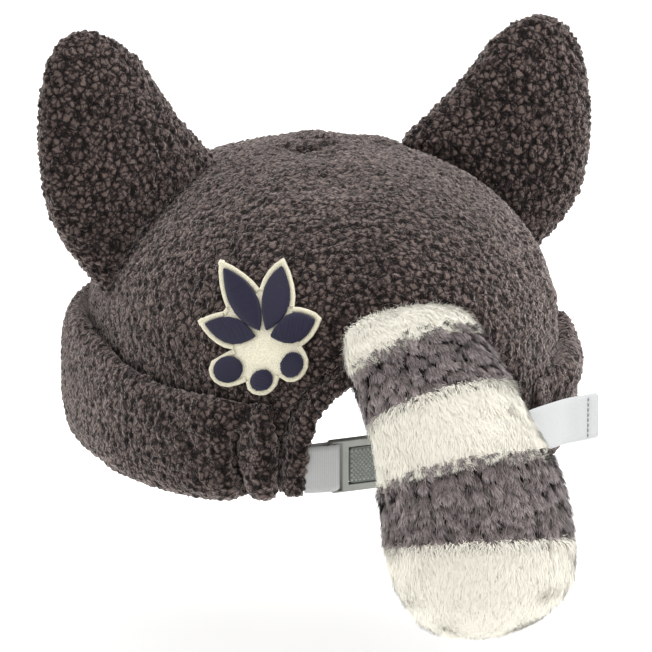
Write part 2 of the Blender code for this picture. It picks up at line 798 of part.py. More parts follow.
def build_patch(navy, cream):
    """Navy leaves and berries over one cream backing, which shows round each as its border."""
    front = PATCH_LIFT + PATCH_THICKNESS
    patch_plate("patch_backing", backing_outline(), PATCH_LIFT, front, cream)
    low, high = front + PATCH_GAP, front + PATCH_RAISE
    for i, leaf in enumerate(rows(PATCH_LEAVES), 1):
        patch_plate(f"patch_leaf_{i}", leaf_outline(leaf), low, high, navy)
    for i, berry in enumerate(rows(PATCH_BERRIES), 1):
        patch_plate(f"patch_berry_{i}", berry_outline(berry), low, high, navy)


def main():
    for old in list(bpy.data.objects):
        bpy.data.objects.remove(old, do_unlink=True)
    fleece = material("fleece_grey", FLEECE_GREY, 0.95)
    plush_grey = material("plush_grey", PLUSH_GREY, 0.9)
    plush_cream = material("plush_cream", PLUSH_CREAM, 0.9)
    webbing = material("webbing_grey", WEBBING_GREY, 0.75)
    moulded = material("moulded_grey", MOULDED_GREY, 0.45)
    navy = material("thread_navy", THREAD_NAVY, 0.6)
    cream = material("thread_cream", THREAD_CREAM, 0.6)

    build_crown(fleece)
    build_facing(fleece)
    build_cuff(fleece)
    seat_form = crown_form("crown_seat_form", GAP, fleece)
    for ear in rows(EARS):
        build_ear(ear, fleece, seat_form)
    for stripe in rows(TAIL_STRIPES):
        finish = plush_cream if "white" in stripe["name"] else plush_grey
        build_tail_stripe(stripe, finish, seat_form)
    build_strap_left(webbing)
    build_strap_right(webbing)
    build_clasp(moulded)
    build_patch(navy, cream)


main()
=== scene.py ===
# %% [markdown]
# # A fluffy hat, seen from behind
# The hat is a padded cap of curled sherpa fleece, with a turned-up cuff, two stuffed ears and a
# striped plush tail that hangs over an arch at the back. A webbing strap with a cam clasp bridges
# the arch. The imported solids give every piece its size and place. This script adds what they
# leave out: the curls of the fleece, the pile of the tail, weave, stitches and mouldings.

# %% Load the frame
import math

import bmesh
import bpy
import numpy as np
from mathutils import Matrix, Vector
from mathutils.bvhtree import BVHTree


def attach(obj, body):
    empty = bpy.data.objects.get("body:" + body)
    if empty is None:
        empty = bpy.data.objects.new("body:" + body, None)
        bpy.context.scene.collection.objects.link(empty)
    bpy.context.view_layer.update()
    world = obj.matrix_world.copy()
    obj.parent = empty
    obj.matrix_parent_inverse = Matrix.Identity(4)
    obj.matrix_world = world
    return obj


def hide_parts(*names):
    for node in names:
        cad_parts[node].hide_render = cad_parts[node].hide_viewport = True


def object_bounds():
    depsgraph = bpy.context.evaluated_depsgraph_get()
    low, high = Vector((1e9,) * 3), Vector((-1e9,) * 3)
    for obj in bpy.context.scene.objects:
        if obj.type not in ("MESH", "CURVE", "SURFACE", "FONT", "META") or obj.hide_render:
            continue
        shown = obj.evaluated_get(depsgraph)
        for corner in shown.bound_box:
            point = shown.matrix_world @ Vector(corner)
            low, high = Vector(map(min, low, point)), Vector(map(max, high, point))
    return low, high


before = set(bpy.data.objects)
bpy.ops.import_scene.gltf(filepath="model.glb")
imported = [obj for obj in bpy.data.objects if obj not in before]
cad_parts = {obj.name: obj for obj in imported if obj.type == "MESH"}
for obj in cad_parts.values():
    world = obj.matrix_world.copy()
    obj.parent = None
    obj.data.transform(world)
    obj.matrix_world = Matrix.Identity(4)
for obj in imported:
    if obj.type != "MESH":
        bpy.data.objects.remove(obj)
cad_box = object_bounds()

MM = 0.001
print("solids in the frame:", len(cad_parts))

# %% [markdown]
# ## Camera
# The photo looks at the hat's back from a little to its left and a little above, with a long lens.
# The camera stands three metres away, so that the ears and the tail keep their true proportions.
# It looks at a point near the strap, moved a touch so that the hat sits where the photo has it.

# %% Camera
VIEW_TURN = math.radians(21)
VIEW_RISE = math.radians(14)
VIEW_DISTANCE = 3.0
FRAME_PIXELS = 652
SENSOR_WIDTH = 36
MM_PER_PIXEL = 0.44
AIM = Vector((0, 0, 52)) * MM
AIM_PIXEL = (322, 325)

towards_camera = Vector((
    math.sin(VIEW_TURN) * math.cos(VIEW_RISE),
    math.cos(VIEW_TURN) * math.cos(VIEW_RISE),
    math.sin(VIEW_RISE),
))
screen_right = Vector((-math.cos(VIEW_TURN), math.sin(VIEW_TURN), 0))
screen_up = towards_camera.cross(screen_right)
half_frame = FRAME_PIXELS / 2
centre = AIM + screen_right * (half_frame - AIM_PIXEL[0]) * MM_PER_PIXEL * MM
centre -= screen_up * (half_frame - AIM_PIXEL[1]) * MM_PER_PIXEL * MM

camera_data = bpy.data.cameras.new("camera")
camera_data.sensor_width = SENSOR_WIDTH
camera_data.lens = SENSOR_WIDTH * VIEW_DISTANCE / (FRAME_PIXELS * MM_PER_PIXEL * MM)
camera = bpy.data.objects.new("camera", camera_data)
camera.location = centre + towards_camera * VIEW_DISTANCE
camera.rotation_euler = towards_camera.to_track_quat("Z", "Y").to_euler()
bpy.context.scene.collection.objects.link(camera)
bpy.context.scene.camera = camera
print("lens in mm:", round(camera_data.lens, 1))

# %% [markdown]
# ## Floor and light
# The hat is photographed high-key, on white. A pale floor lies well under the tail, and a white
# world with large soft lights above and beside the hat gives the same even light, a little
# stronger from above and from the right of the picture.

# %% Floor and light
FLOOR_DROP = 60 * MM
FLOOR_SIZE = 14
FLOOR_GLOW = 0.4
WORLD_GLOW = 0.7


def linear(code):
    """An sRGB hex colour as the linear colour that shaders take."""
    values = [int(code[i:i + 2], 16) / 255 for i in (1, 3, 5)]
    values = [v / 12.92 if v <= 0.04045 else ((v + 0.055) / 1.055) ** 2.4 for v in values]
    return (*values, 1.0)


def add(tree, kind, inputs=None, **settings):
    """Adds a node with its settings, and fills its inputs with values or other nodes' outputs."""
    made = tree.nodes.new(kind)
    for name, value in settings.items():
        setattr(made, name, value)
    for key, value in (inputs or {}).items():
        if isinstance(value, bpy.types.NodeSocket):
            tree.links.new(value, made.inputs[key])
        else:
            made.inputs[key].default_value = value
    return made


def new_piece(name, mesh):
    piece = bpy.data.objects.new(name, mesh)
    bpy.context.scene.collection.objects.link(piece)
    return piece


def new_material(name):
    """A material, with its node tree and its shader."""
    made = bpy.data.materials.new(name)
    made.use_nodes = True
    return made, made.node_tree, made.node_tree.nodes["Principled BSDF"]


def set_inputs(shader, values):
    for key, value in values.items():
        shader.inputs[key].default_value = value


floor_material, _, floor_shader = new_material("painted_board_pale")
set_inputs(floor_shader, {
    "Base Color": linear("#f6f6f4"),
    "Roughness": 0.9,
    "Emission Color": (1, 1, 1, 1),
    "Emission Strength": FLOOR_GLOW,
})

floor_mesh = bpy.data.meshes.new("floor")
reach = FLOOR_SIZE / 2
level = cad_box[0].z - FLOOR_DROP
corners = [(-reach, -reach), (reach, -reach), (reach, reach), (-reach, reach)]
floor_mesh.from_pydata([(x, y, level) for x, y in corners], [], [(0, 1, 2, 3)])
floor_mesh.materials.append(floor_material)
floor = new_piece("floor", floor_mesh)

world = bpy.data.worlds.new("studio")
world.use_nodes = True
set_inputs(world.node_tree.nodes["Background"], {"Color": (1, 1, 1, 1), "Strength": WORLD_GLOW})
bpy.context.scene.world = world
bpy.context.scene.view_settings.view_transform = "Standard"


def soft_light(name, place, size, power):
    """A square area light that looks at the hat."""
    data = bpy.data.lights.new(name, "AREA")
    data.shape = "SQUARE"
    data.size = size
    data.energy = power
    lamp = bpy.data.objects.new(name, data)
    lamp.location = place
    lamp.rotation_euler = (Vector(place) - AIM).to_track_quat("Z", "Y").to_euler()
    bpy.context.scene.collection.objects.link(lamp)


soft_light("top_light", AIM + Vector((-0.3, 0.2, 1.6)), 1.2, 27)
soft_light("right_light", AIM + screen_right * 1.5 + Vector((0, 0.5, 0.6)), 1.0, 14.5)
soft_light("left_light", AIM - screen_right * 1.6 + Vector((0, 0.1, 0.4)), 1.0, 11)
print("floor height in mm:", round(level / MM, 1))

# %% [markdown]
# ## Helpers for Geometry Nodes
# A tree's inputs are named for its sizes, and set through each socket's identifier. The result is
# made a plain mesh straight away, so that no live modifier is left on a finished piece.

# %% Helpers for Geometry Nodes


def new_tree(name, sizes):
    """A geometry tree with named inputs. Returns it with its first and last nodes."""
    tree = bpy.data.node_groups.new(name, "GeometryNodeTree")
    tree.interface.new_socket("Geometry", in_out="INPUT", socket_type="NodeSocketGeometry")
    tree.interface.new_socket("Geometry", in_out="OUTPUT", socket_type="NodeSocketGeometry")
    for label, kind in sizes.items():
        tree.interface.new_socket(label, in_out="INPUT", socket_type=kind)
    return tree, tree.nodes.new("NodeGroupInput"), tree.nodes.new("NodeGroupOutput")


def plain(piece):
    """Applies a piece's modifiers."""
    bpy.context.view_layer.update()
    evaluated = piece.evaluated_get(bpy.context.evaluated_depsgraph_get())
    mesh = bpy.data.meshes.new_from_object(evaluated)
    piece.modifiers.clear()
    piece.data = mesh
    return piece


def grow(piece, tree, values):
    """Runs a geometry tree on a piece, and keeps the result as the piece's mesh."""
    modifier = piece.modifiers.new(tree.name, "NODES")
    modifier.node_group = tree
    for socket in tree.interface.items_tree:
        if socket.name in values:
            modifier[socket.identifier] = values[socket.name]
    return plain(piece)


def set_attribute(mesh, name, kind, values):
    """Stores one value for each point of a mesh."""
    layer = mesh.attributes.new(name, kind, "POINT")
    field = "value" if kind == "FLOAT" else "vector"
    layer.data.foreach_set(field, np.asarray(values, np.float32).ravel())


def coordinates(mesh):
    values = np.zeros(len(mesh.vertices) * 3, np.float32)
    mesh.vertices.foreach_get("co", values)
    return values.reshape(-1, 3).astype(float)


# %% [markdown]
# ## Sherpa fleece, the curl pattern
# Sherpa is a polyester pile that is curled into small nubs, about three millimetres across, with
# dark gaps between them. A Voronoi pattern has that look: the distance to a cell's middle gives a
# dome, and the distance to its edge gives the gap. Noise bends the cells out of their regular
# shapes. The shape and the material both draw this one pattern, so the dark colour sits in the
# gaps. Textures alone would leave the outline smooth, where the fleece shows best.

# %% The curl pattern
NUB_PITCH = 2.9 * MM


def curl_pattern(tree, place):
    """The pile's height, from 0 in a gap to about 1 on a nub, and a colour for each nub."""
    middle = add(tree, "ShaderNodeTexVoronoi", {"Vector": place, "Scale": 1.0})
    edge = add(tree, "ShaderNodeTexVoronoi", {"Vector": place, "Scale": 1.0}, feature="DISTANCE_TO_EDGE")
    dome = add(
        tree, "ShaderNodeMapRange",
        {"Value": middle.outputs["Distance"], "From Min": 0.85, "From Max": 0.10},
        interpolation_type="SMOOTHSTEP",
    )
    gap = add(
        tree, "ShaderNodeMapRange",
        {"Value": edge.outputs["Distance"], "From Min": 0.0, "From Max": 0.34},
        interpolation_type="SMOOTHSTEP",
    )
    height = add(
        tree, "ShaderNodeMix", {0: 0.5, 2: dome.outputs["Result"], 3: gap.outputs["Result"]},
        data_type="FLOAT",
    )
    return height.outputs[0], middle.outputs["Color"]


print("nub pitch in mm:", NUB_PITCH / MM)

# %% [markdown]
# ## Sherpa fleece, the material
# Light catches the top of each nub and is lost in the gaps, so the colour follows the height of the
# curl. Each nub is a knot of fine loops: they are bump, finer than a face. Stray fibres blur the
# edges of the nubs, so noise shifts the pattern's place a little. The fibres that stand up from the
# pile make it look paler where the surface turns away, which the shader's sheen gives.

# %% Sherpa fleece material
LOOP_PITCH = 0.95 * MM
FIBRE_PITCH = 0.4 * MM
STRAY_PITCH = 1.1 * MM
STRAY_REACH = 0.7


def fleece_material():
    made, tree, shader = new_material("sherpa_fleece_curled_polyester")
    place = add(tree, "ShaderNodeAttribute", attribute_name="curl_place")
    coords = add(tree, "ShaderNodeTexCoord")
    stray = add(
        tree, "ShaderNodeTexNoise",
        {"Vector": coords.outputs["Object"], "Scale": 1 / STRAY_PITCH, "Detail": 2.0},
    )
    fuzz = add(
        tree, "ShaderNodeVectorMath",
        {0: stray.outputs["Color"], 1: (STRAY_REACH,) * 3, 2: place.outputs["Vector"]},
        operation="MULTIPLY_ADD",
    )
    height, tuft = curl_pattern(tree, fuzz.outputs["Vector"])
    loops = add(
        tree, "ShaderNodeTexVoronoi", {"Vector": coords.outputs["Object"], "Scale": 1 / LOOP_PITCH},
    )
    fibres = add(
        tree, "ShaderNodeTexNoise",
        {"Vector": coords.outputs["Object"], "Scale": 1 / FIBRE_PITCH, "Detail": 2.0},
    )
    broad = add(tree, "ShaderNodeTexNoise", {"Vector": coords.outputs["Object"], "Scale": 30.0})

    ramp = add(tree, "ShaderNodeValToRGB", {"Fac": height})
    stops = ramp.color_ramp.elements
    stops[0].position, stops[0].color = 0.08, linear("#080504")
    stops[1].position, stops[1].color = 0.95, linear("#61544f")
    middle = stops.new(0.42)
    middle.color = linear("#2f2625")
    uneven = add(tree, "ShaderNodeMix", {0: 0.6, 3: broad.outputs["Fac"]}, data_type="FLOAT")
    tree.links.new(tuft, uneven.inputs[2])
    speckled = add(
        tree, "ShaderNodeMix", {0: 0.45, 2: uneven.outputs[0], 3: fibres.outputs["Fac"]},
        data_type="FLOAT",
    )
    shade = add(
        tree, "ShaderNodeMapRange",
        {"Value": speckled.outputs[0], "From Min": 0.25, "From Max": 0.75, "To Min": 0.5, "To Max": 1.42},
    )
    toned = add(
        tree, "ShaderNodeVectorMath",
        {0: ramp.outputs["Color"], "Scale": shade.outputs["Result"]}, operation="SCALE",
    )
    tree.links.new(toned.outputs["Vector"], shader.inputs["Base Color"])

    nubs = add(tree, "ShaderNodeBump", {"Height": height, "Distance": 1.0 * MM, "Strength": 0.5})
    coarse = add(
        tree, "ShaderNodeBump",
        {
            "Height": loops.outputs["Distance"],
            "Distance": 0.4 * MM,
            "Strength": 0.45,
            "Normal": nubs.outputs["Normal"],
        },
        invert=True,
    )
    fine = add(
        tree, "ShaderNodeBump",
        {
            "Height": fibres.outputs["Fac"],
            "Distance": 0.3 * MM,
            "Strength": 0.5,
            "Normal": coarse.outputs["Normal"],
        },
    )
    tree.links.new(fine.outputs["Normal"], shader.inputs["Normal"])
    set_inputs(shader, {
        "Roughness": 0.95,
        "Specular IOR Level": 0.12,
        "Sheen Weight": 0.9,
        "Sheen Roughness": 0.4,
        "Sheen Tint": linear("#dccfcb"),
    })
    return made


fleece = fleece_material()
print("made", fleece.name)

# %% [markdown]
# ## Sherpa fleece, the shape
# A fleece panel starts as a copy of its solid. A voxel remesh gives it an even skin, smoothing
# takes the facets away, and the faces that show are divided again, so that a nub is a few faces
# wide. Padded cloth gathers at its seams, so creases and bulges are pressed along routes over the
# skin: a gather near the cuff's end, and a dimple under the crown's top. A Geometry Nodes tree
# then raises the nubs, and stores each point's place in the pattern for the material.

# %% Curls for the fleece
NUB_HEIGHT = 1.5 * MM
NUB_BEND = 1.7
NUB_SEED = 0.0
# How much of a nub's height lies under the solid's face, so the fleece is no thicker than it
NUB_SUNK = 0.25


def curl_tree():
    tree, start, end = new_tree("sherpa_curls", {
        "Nub pitch": "NodeSocketFloat",
        "Nub height": "NodeSocketFloat",
        "Bend": "NodeSocketFloat",
        "Seed": "NodeSocketFloat",
    })
    sizes = start.outputs
    position = add(tree, "GeometryNodeInputPosition")
    normal = add(tree, "GeometryNodeInputNormal")
    pile = add(tree, "GeometryNodeInputNamedAttribute", {"Name": "pile"}, data_type="FLOAT")
    per_metre = add(tree, "ShaderNodeMath", {0: 1.0, 1: sizes["Nub pitch"]}, operation="DIVIDE")
    scaled = add(
        tree, "ShaderNodeVectorMath",
        {0: position.outputs[0], "Scale": per_metre.outputs[0]}, operation="SCALE",
    )
    shifted = add(
        tree, "ShaderNodeVectorMath", {0: scaled.outputs[0], 1: sizes["Seed"]}, operation="ADD",
    )
    bend = add(tree, "ShaderNodeTexNoise", {"Vector": shifted.outputs[0], "Scale": 0.8, "Detail": 1.0})
    centred = add(
        tree, "ShaderNodeVectorMath", {0: bend.outputs["Color"], 1: (0.5, 0.5, 0.5)}, operation="SUBTRACT",
    )
    bent = add(
        tree, "ShaderNodeVectorMath",
        {0: centred.outputs[0], "Scale": sizes["Bend"]}, operation="SCALE",
    )
    place = add(
        tree, "ShaderNodeVectorMath", {0: shifted.outputs[0], 1: bent.outputs[0]}, operation="ADD",
    )
    height, tuft = curl_pattern(tree, place.outputs[0])
    lifted = add(tree, "ShaderNodeMath", {0: height, 1: NUB_SUNK}, operation="SUBTRACT")
    sized = add(
        tree, "ShaderNodeMath", {0: lifted.outputs[0], 1: sizes["Nub height"]}, operation="MULTIPLY",
    )
    masked = add(
        tree, "ShaderNodeMath", {0: sized.outputs[0], 1: pile.outputs[0]}, operation="MULTIPLY",
    )
    offset = add(
        tree, "ShaderNodeVectorMath",
        {0: normal.outputs[0], "Scale": masked.outputs[0]}, operation="SCALE",
    )
    placed = add(
        tree, "GeometryNodeStoreNamedAttribute",
        {"Geometry": start.outputs["Geometry"], "Name": "curl_place", "Value": place.outputs[0]},
        data_type="FLOAT_VECTOR",
    )
    raised = add(
        tree, "GeometryNodeSetPosition",
        {"Geometry": placed.outputs[0], "Offset": offset.outputs[0]},
    )
    tree.links.new(raised.outputs[0], end.inputs[0])
    return tree


curls = curl_tree()
print("nodes in the curl tree:", len(curls.nodes))

# %% An even skin for a panel


def face_outward(mesh):
    """Turns the faces of a closed mesh outwards."""
    shaped = bmesh.new()
    shaped.from_mesh(mesh)
    bmesh.ops.recalc_face_normals(shaped, faces=shaped.faces)
    shaped.to_mesh(mesh)
    shaped.free()


def even_copy(name, node, voxel, rounds):
    """A CAD solid's copy with an even skin and its facets smoothed away."""
    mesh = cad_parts[node].data.copy()
    mesh.materials.clear()
    shaped = bmesh.new()
    shaped.from_mesh(mesh)
    bmesh.ops.remove_doubles(shaped, verts=shaped.verts, dist=0.001 * MM)
    shaped.to_mesh(mesh)
    shaped.free()
    piece = new_piece(name, mesh)
    voxels = piece.modifiers.new("voxels", "REMESH")
    voxels.mode = "VOXEL"
    voxels.voxel_size = voxel
    smooth = piece.modifiers.new("smooth", "SMOOTH")
    smooth.factor = 0.5
    smooth.iterations = rounds
    return plain(piece)


def refine(piece, shows, cuts=2):
    """Divides the faces that show, and marks the points of those faces as piled."""
    shaped = bmesh.new()
    shaped.from_mesh(piece.data)
    shaped.normal_update()
    pile = shaped.verts.layers.float.new("pile")
    edges = set()
    for face in shaped.faces:
        if shows(face.calc_center_median(), face.normal):
            edges.update(face.edges)
    bmesh.ops.subdivide_edges(shaped, edges=list(edges), cuts=cuts, use_grid_fill=True)
    shaped.normal_update()
    for vert in shaped.verts:
        vert[pile] = 1.0 if shows(vert.co, vert.normal) else 0.0
    shaped.to_mesh(piece.data)
    shaped.free()
    piece.data.shade_smooth()


# %% Creases and bulges
FOLDS = {
    # depth and reach of each crease or bulge, and the route it follows, all in mm
    "crown": [
        (1.6, 2.6, [(14.3, -10.3, 131.6), (9.4, -2.4, 130.6), (2, 0.3, 131.5), (-6.2, -2.7, 132.5)]),
        (0.9, 11, [(20, -36.4, 128.5), (11.4, -28.1, 131.3)]),
        (-2.2, 8, [(-29.7, -15.8, 129.3), (-34.4, -13.4, 128.5)]),
        (-2.2, 9, [(-76.7, 55.3, 92.5), (-75.7, 67.9, 83.4), (-81.5, 65.6, 71.2)]),
    ],
    "cuff": [
        (4.6, 2.1, [(73.6, 90, 31.3), (74.1, 89.9, 22.6), (72.8, 90, 14.1), (69.4, 88.2, 6.7)]),
        (-2.0, 6, [(62, 96, 30), (62, 95, 9)]),
        (1.2, 3, [(99.9, 55, 40.6), (94.1, 70.3, 35), (90.2, 78.2, 25.6)]),
        (-1.8, 9, [(107.3, 23.5, 6.8), (97.7, 48.1, 3.2), (88.6, 73.6, 4.8), (66.7, 94.3, 8)]),
        (-2.6, 9, [(-104.1, 24.8, 50.8), (-95.9, 53.2, 46.8), (-86.7, 77.3, 39.9)]),
    ],
    "arch_facing": [
        (-1.3, 6, [(49.9, 105.4, 30.7), (50.7, 105.1, 19.7)]),
    ],
}


def pressed(piece, folds):
    """Presses creases into a piece along routes of points, or bulges where the depth is below 0."""
    mesh = piece.data
    points = coordinates(mesh)
    normals = np.array([tuple(vert.normal) for vert in mesh.vertices])
    moved = np.zeros_like(points)
    for depth, width, route in folds:
        route = np.array(route) * MM
        nearest = np.full(len(points), np.inf)
        for a, b in zip(route, route[1:]):
            along = np.clip((points - a) @ (b - a) / ((b - a) @ (b - a)), 0, 1)
            off = points - a - along[:, None] * (b - a)
            nearest = np.minimum(nearest, np.linalg.norm(off, axis=1))
        moved -= normals * (depth * MM * np.exp(-(nearest / (width * MM)) ** 2))[:, None]
    mesh.vertices.foreach_set("co", (points + moved).ravel())
    mesh.update()


print("creases and bulges:", sum(len(folds) for folds in FOLDS.values()))

# %% Curls and stuffing


def curled(piece):
    """Raises the fleece's nubs over a piece."""
    grow(piece, curls, {
        "Nub pitch": NUB_PITCH,
        "Nub height": NUB_HEIGHT,
        "Bend": NUB_BEND,
        "Seed": NUB_SEED,
    })
    piece.data.materials.clear()
    piece.data.materials.append(fleece)
    piece.data.shade_smooth()


def count(piece):
    piece.data.calc_loop_triangles()
    print(piece.name, "triangles:", len(piece.data.loop_triangles))


def belongs(piece, body="hat", node=None):
    """Attaches a piece to the body it rides, and hides the solid that it stands for."""
    if node:
        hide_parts(node)
    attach(piece, body)


def finish_fleece(piece, node):
    belongs(piece, node=node)
    count(piece)


# %% [markdown]
# ### Crown
# The crown is cut as a left and a right panel that meet in a seam along the middle, so the copy
# is halved there, and each half is a closed piece of its own. Only its outside, above the cuff,
# is curled. The inside is knitted backing, and stays fairly smooth.

# %% Crown
CROWN_VOXEL = 3.2 * MM
CROWN_ROUNDS = 4
CROWN_SHOWS_FROM = 38 * MM
CROWN_HEART = Vector((0, 0, 40 * MM))


def crown_shows(place, normal):
    return place.z > CROWN_SHOWS_FROM and normal.dot((place - CROWN_HEART).normalized()) > 0.1


def half_of(piece, name, side):
    """One half of a piece, cut along the middle and closed with a flat cap."""
    half = new_piece(name, piece.data.copy())
    shaped = bmesh.new()
    shaped.from_mesh(half.data)
    everything = shaped.verts[:] + shaped.edges[:] + shaped.faces[:]
    cut = bmesh.ops.bisect_plane(
        shaped,
        geom=everything,
        dist=0.01 * MM,
        plane_co=(0, 0, 0),
        plane_no=(side, 0, 0),
        clear_inner=True,
    )
    edges = [item for item in cut["geom_cut"] if isinstance(item, bmesh.types.BMEdge)]
    caps = bmesh.ops.holes_fill(shaped, edges=edges, sides=0)["faces"]
    for cap in caps:
        cap.smooth = False
    for edge in edges:
        edge.smooth = False
    shaped.to_mesh(half.data)
    shaped.free()
    return half


crown = even_copy("crown_whole", "crown", CROWN_VOXEL, CROWN_ROUNDS)
refine(crown, crown_shows)
pressed(crown, FOLDS["crown"])
curled(crown)
for side, name in ((1, "crown_left_panel"), (-1, "crown_right_panel")):
    panel = half_of(crown, name, side)
    finish_fleece(panel, "crown")
bpy.data.objects.remove(crown)

# %% [markdown]
# ### Cuff, facing and ears
# The cuff is the crown's cloth turned up, so its outside and its lower edge are curled. The facing
# is a rolled strip round the arch, and the ears are stuffed and sewn on. They are curled all over.

# %% Cuff, facing and ears
CUFF_FOOT = 9 * MM


def cuff_shows(place, normal):
    outward = Vector((place.x, place.y, 0)).normalized()
    return normal.dot(outward) > -0.3 or place.z < CUFF_FOOT


def all_shows(place, normal):
    return True


for node, voxel, rounds, shows, fill in (
    # the voxel's size in mm, rounds of smoothing, the faces that show and how full it is stuffed
    ("cuff", 3.2, 2, cuff_shows, 0.7),
    ("arch_facing", 2.8, 2, all_shows, 0.7),
    ("ear_left", 2.8, 4, all_shows, 0.6),
    ("ear_right", 2.8, 4, all_shows, 0.6),
):
    panel = even_copy(node + "_fleece", node, voxel * MM, rounds)
    refine(panel, shows)
    pressed(panel, FOLDS.get(node, []))
    curled(panel)
    finish_fleece(panel, node)

# %% [markdown]
# ## Tail, the plush
# The tail is a stuffed tube of plush, five stripes sewn end to end. The skin is worked out ring by
# ring along the tail's own line, thinner than the solid, so that the tips of the pile reach the
# solid's outline. Geometry Nodes then plant strands all over it. Each stands nearly upright and
# bends over towards the tail's tip, or the way its tuft swirls. Real fibres are finer than a pixel,
# so a strand stands for several. Light goes through real pile and comes out soft, and a strand's
# flat face would break it up, so the material shades a strand as the skin under it faces, and the
# pale pile glows a little, as light that has gone through it does. The grey pile is drawn together
# in tufts, and the strands at a tuft's edge are coloured darker: painted shade for the gaps between.

# %% Plush materials


def plush_material(name, root, body, tip, least, most, glow):
    """Plush whose strands go from root to tip colour, and vary in brightness from least to most with their
    tone, which is lower at a tuft's edge as painted shade.
    """
    made, tree, shader = new_material(name)
    along = add(tree, "ShaderNodeAttribute", attribute_name="strand_along")
    tone = add(tree, "ShaderNodeAttribute", attribute_name="strand_tone")
    skin = add(tree, "ShaderNodeAttribute", attribute_name="skin_normal")
    ramp = add(tree, "ShaderNodeValToRGB", {"Fac": along.outputs["Fac"]})
    stops = ramp.color_ramp.elements
    stops[0].position, stops[0].color = 0.0, linear(root)
    stops[1].position, stops[1].color = 1.0, linear(tip)
    middle = stops.new(0.55)
    middle.color = linear(body)
    shade = add(
        tree, "ShaderNodeMapRange",
        {"Value": tone.outputs["Fac"], "From Min": 0.2, "From Max": 0.8, "To Min": least, "To Max": most},
    )
    toned = add(
        tree, "ShaderNodeVectorMath",
        {0: ramp.outputs["Color"], "Scale": shade.outputs["Result"]}, operation="SCALE",
    )
    tree.links.new(toned.outputs["Vector"], shader.inputs["Base Color"])
    tree.links.new(toned.outputs["Vector"], shader.inputs["Emission Color"])
    tree.links.new(skin.outputs["Vector"], shader.inputs["Normal"])
    set_inputs(shader, {
        "Emission Strength": glow,
        "Roughness": 0.9,
        "Specular IOR Level": 0.1,
        "Sheen Weight": 0.2,
        "Sheen Roughness": 0.5,
    })
    return made


plush = {
    "plush_cream": plush_material(
        "faux_fur_cream_polyester_pile", "#c6c1b2", "#ccc8bb", "#d0cdc3", 0.98, 1.0, 0.45
    ),
    "plush_grey": plush_material(
        "faux_fur_grey_polyester_pile", "#2c2524", "#6e6462", "#aa9fa0", 0.5, 1.4, 0.06
    ),
}

for made in plush.values():
    print("made", made.name)

# %% Tail sizes
TAIL_STATIONS = (
    # centre line and section in mm, then the dip and lean of the heading in degrees
    ("x", "y", "z", "half_width", "outer", "inner", "dip", "lean"),
    (9, 118, 80, 29, 11.5, 11, 20, 4),
    (10.5, 131, 75, 33, 20, 14, 38, 10),
    (8, 145, 62, 34, 26, 21, 50, 10),
    (3, 158, 43, 36, 31, 28, 57, 4),
    (-2, 169.5, 18.5, 41.5, 35, 33, 65, 1),
    (-3.5, 177, -8, 42, 37, 36, 76, -5),
    (-2, 181, -20, 38, 33.5, 32.5, 80, -5),
    (2, 183, -30, 27, 24, 23, 83, -5),
    (6, 183.5, -36, 13, 12, 11.5, 85, -5),
)
TAIL_STRIPES = (
    # node, slot, first and last place along the stations
    ("tail_white_root", "plush_cream", 0.0, 1.45),
    ("tail_grey_upper", "plush_grey", 1.45, 2.65),
    ("tail_white_middle", "plush_cream", 2.65, 3.75),
    ("tail_grey_lower", "plush_grey", 3.75, 4.8),
    ("tail_white_tip", "plush_cream", 4.8, 7.6),
)
STRANDS_PER_M2 = 5.1e6
# Strands stand where the skin faces less than this along the tail, so the stripes' ends stay bare
END_LIMIT = 0.8
NO_LIMIT = 2.0
PILE_KINDS = {
    # how upright the strands stand, and how wide and how drawn together their tufts are
    "plush_cream": {"Lift": 1.6, "Clump size": 3.5 * MM, "Clump pull": 0.35},
    "plush_grey": {"Lift": 1.9, "Clump size": 4.0 * MM, "Clump pull": 1.3},
}
PILE_LENGTH = 5.8 * MM
PILE_OVERHANG = 1.5 * MM
SKIN_INSET = 4.3 * MM
SKIN_SIDES = 72
SKIN_STEP = 0.1


print("stripes:", len(TAIL_STRIPES), "on", len(TAIL_STATIONS) - 1, "stations")

# %% Tail skin


def through(stations, place):
    """A smooth curve through the stations, read at a place counted in stations."""
    index = min(int(place), len(stations) - 2)
    t = place - index
    before = stations[max(index - 1, 0)]
    first, second = stations[index], stations[index + 1]
    after = stations[min(index + 2, len(stations) - 1)]
    values = []
    for a, b, c, d in zip(before, first, second, after):
        square = 2 * a - 5 * b + 4 * c - d
        cube = 3 * b - a - 3 * c + d
        values.append(b + 0.5 * ((c - a) * t + square * t**2 + cube * t**3))
    return values


def tail_ring(place, inset):
    """One ring of the tail's skin, its heading and the middle of the ring."""
    x, y, z, half_width, outer, inner, dip, lean = through(TAIL_STATIONS[1:], place)
    dip, lean = math.radians(dip), math.radians(lean)
    flat = math.cos(lean)
    heading = Vector((-math.sin(lean), flat * math.cos(dip), -flat * math.sin(dip)))
    left = Vector((1, 0, 0))
    left = (left - heading * left.dot(heading)).normalized()
    out = left.cross(heading)
    middle = Vector((x, y, z)) * MM
    ring = []
    for side in range(SKIN_SIDES):
        turn = 2 * math.pi * side / SKIN_SIDES
        depth = outer if math.sin(turn) > 0 else inner
        across = max(half_width * MM - inset, 2 * MM) * math.cos(turn)
        up = max(depth * MM - inset, 2 * MM) * math.sin(turn)
        ring.append(middle + left * across + out * up)
    return ring, heading, middle


def moved_back(place, distance):
    """The place that lies a distance nearer to the tail's root."""
    while distance > 0 and place > 0:
        here, back = tail_ring(place, 0)[2], tail_ring(max(place - 0.02, 0), 0)[2]
        distance -= (here - back).length
        place -= 0.02
    return max(place, 0.0)


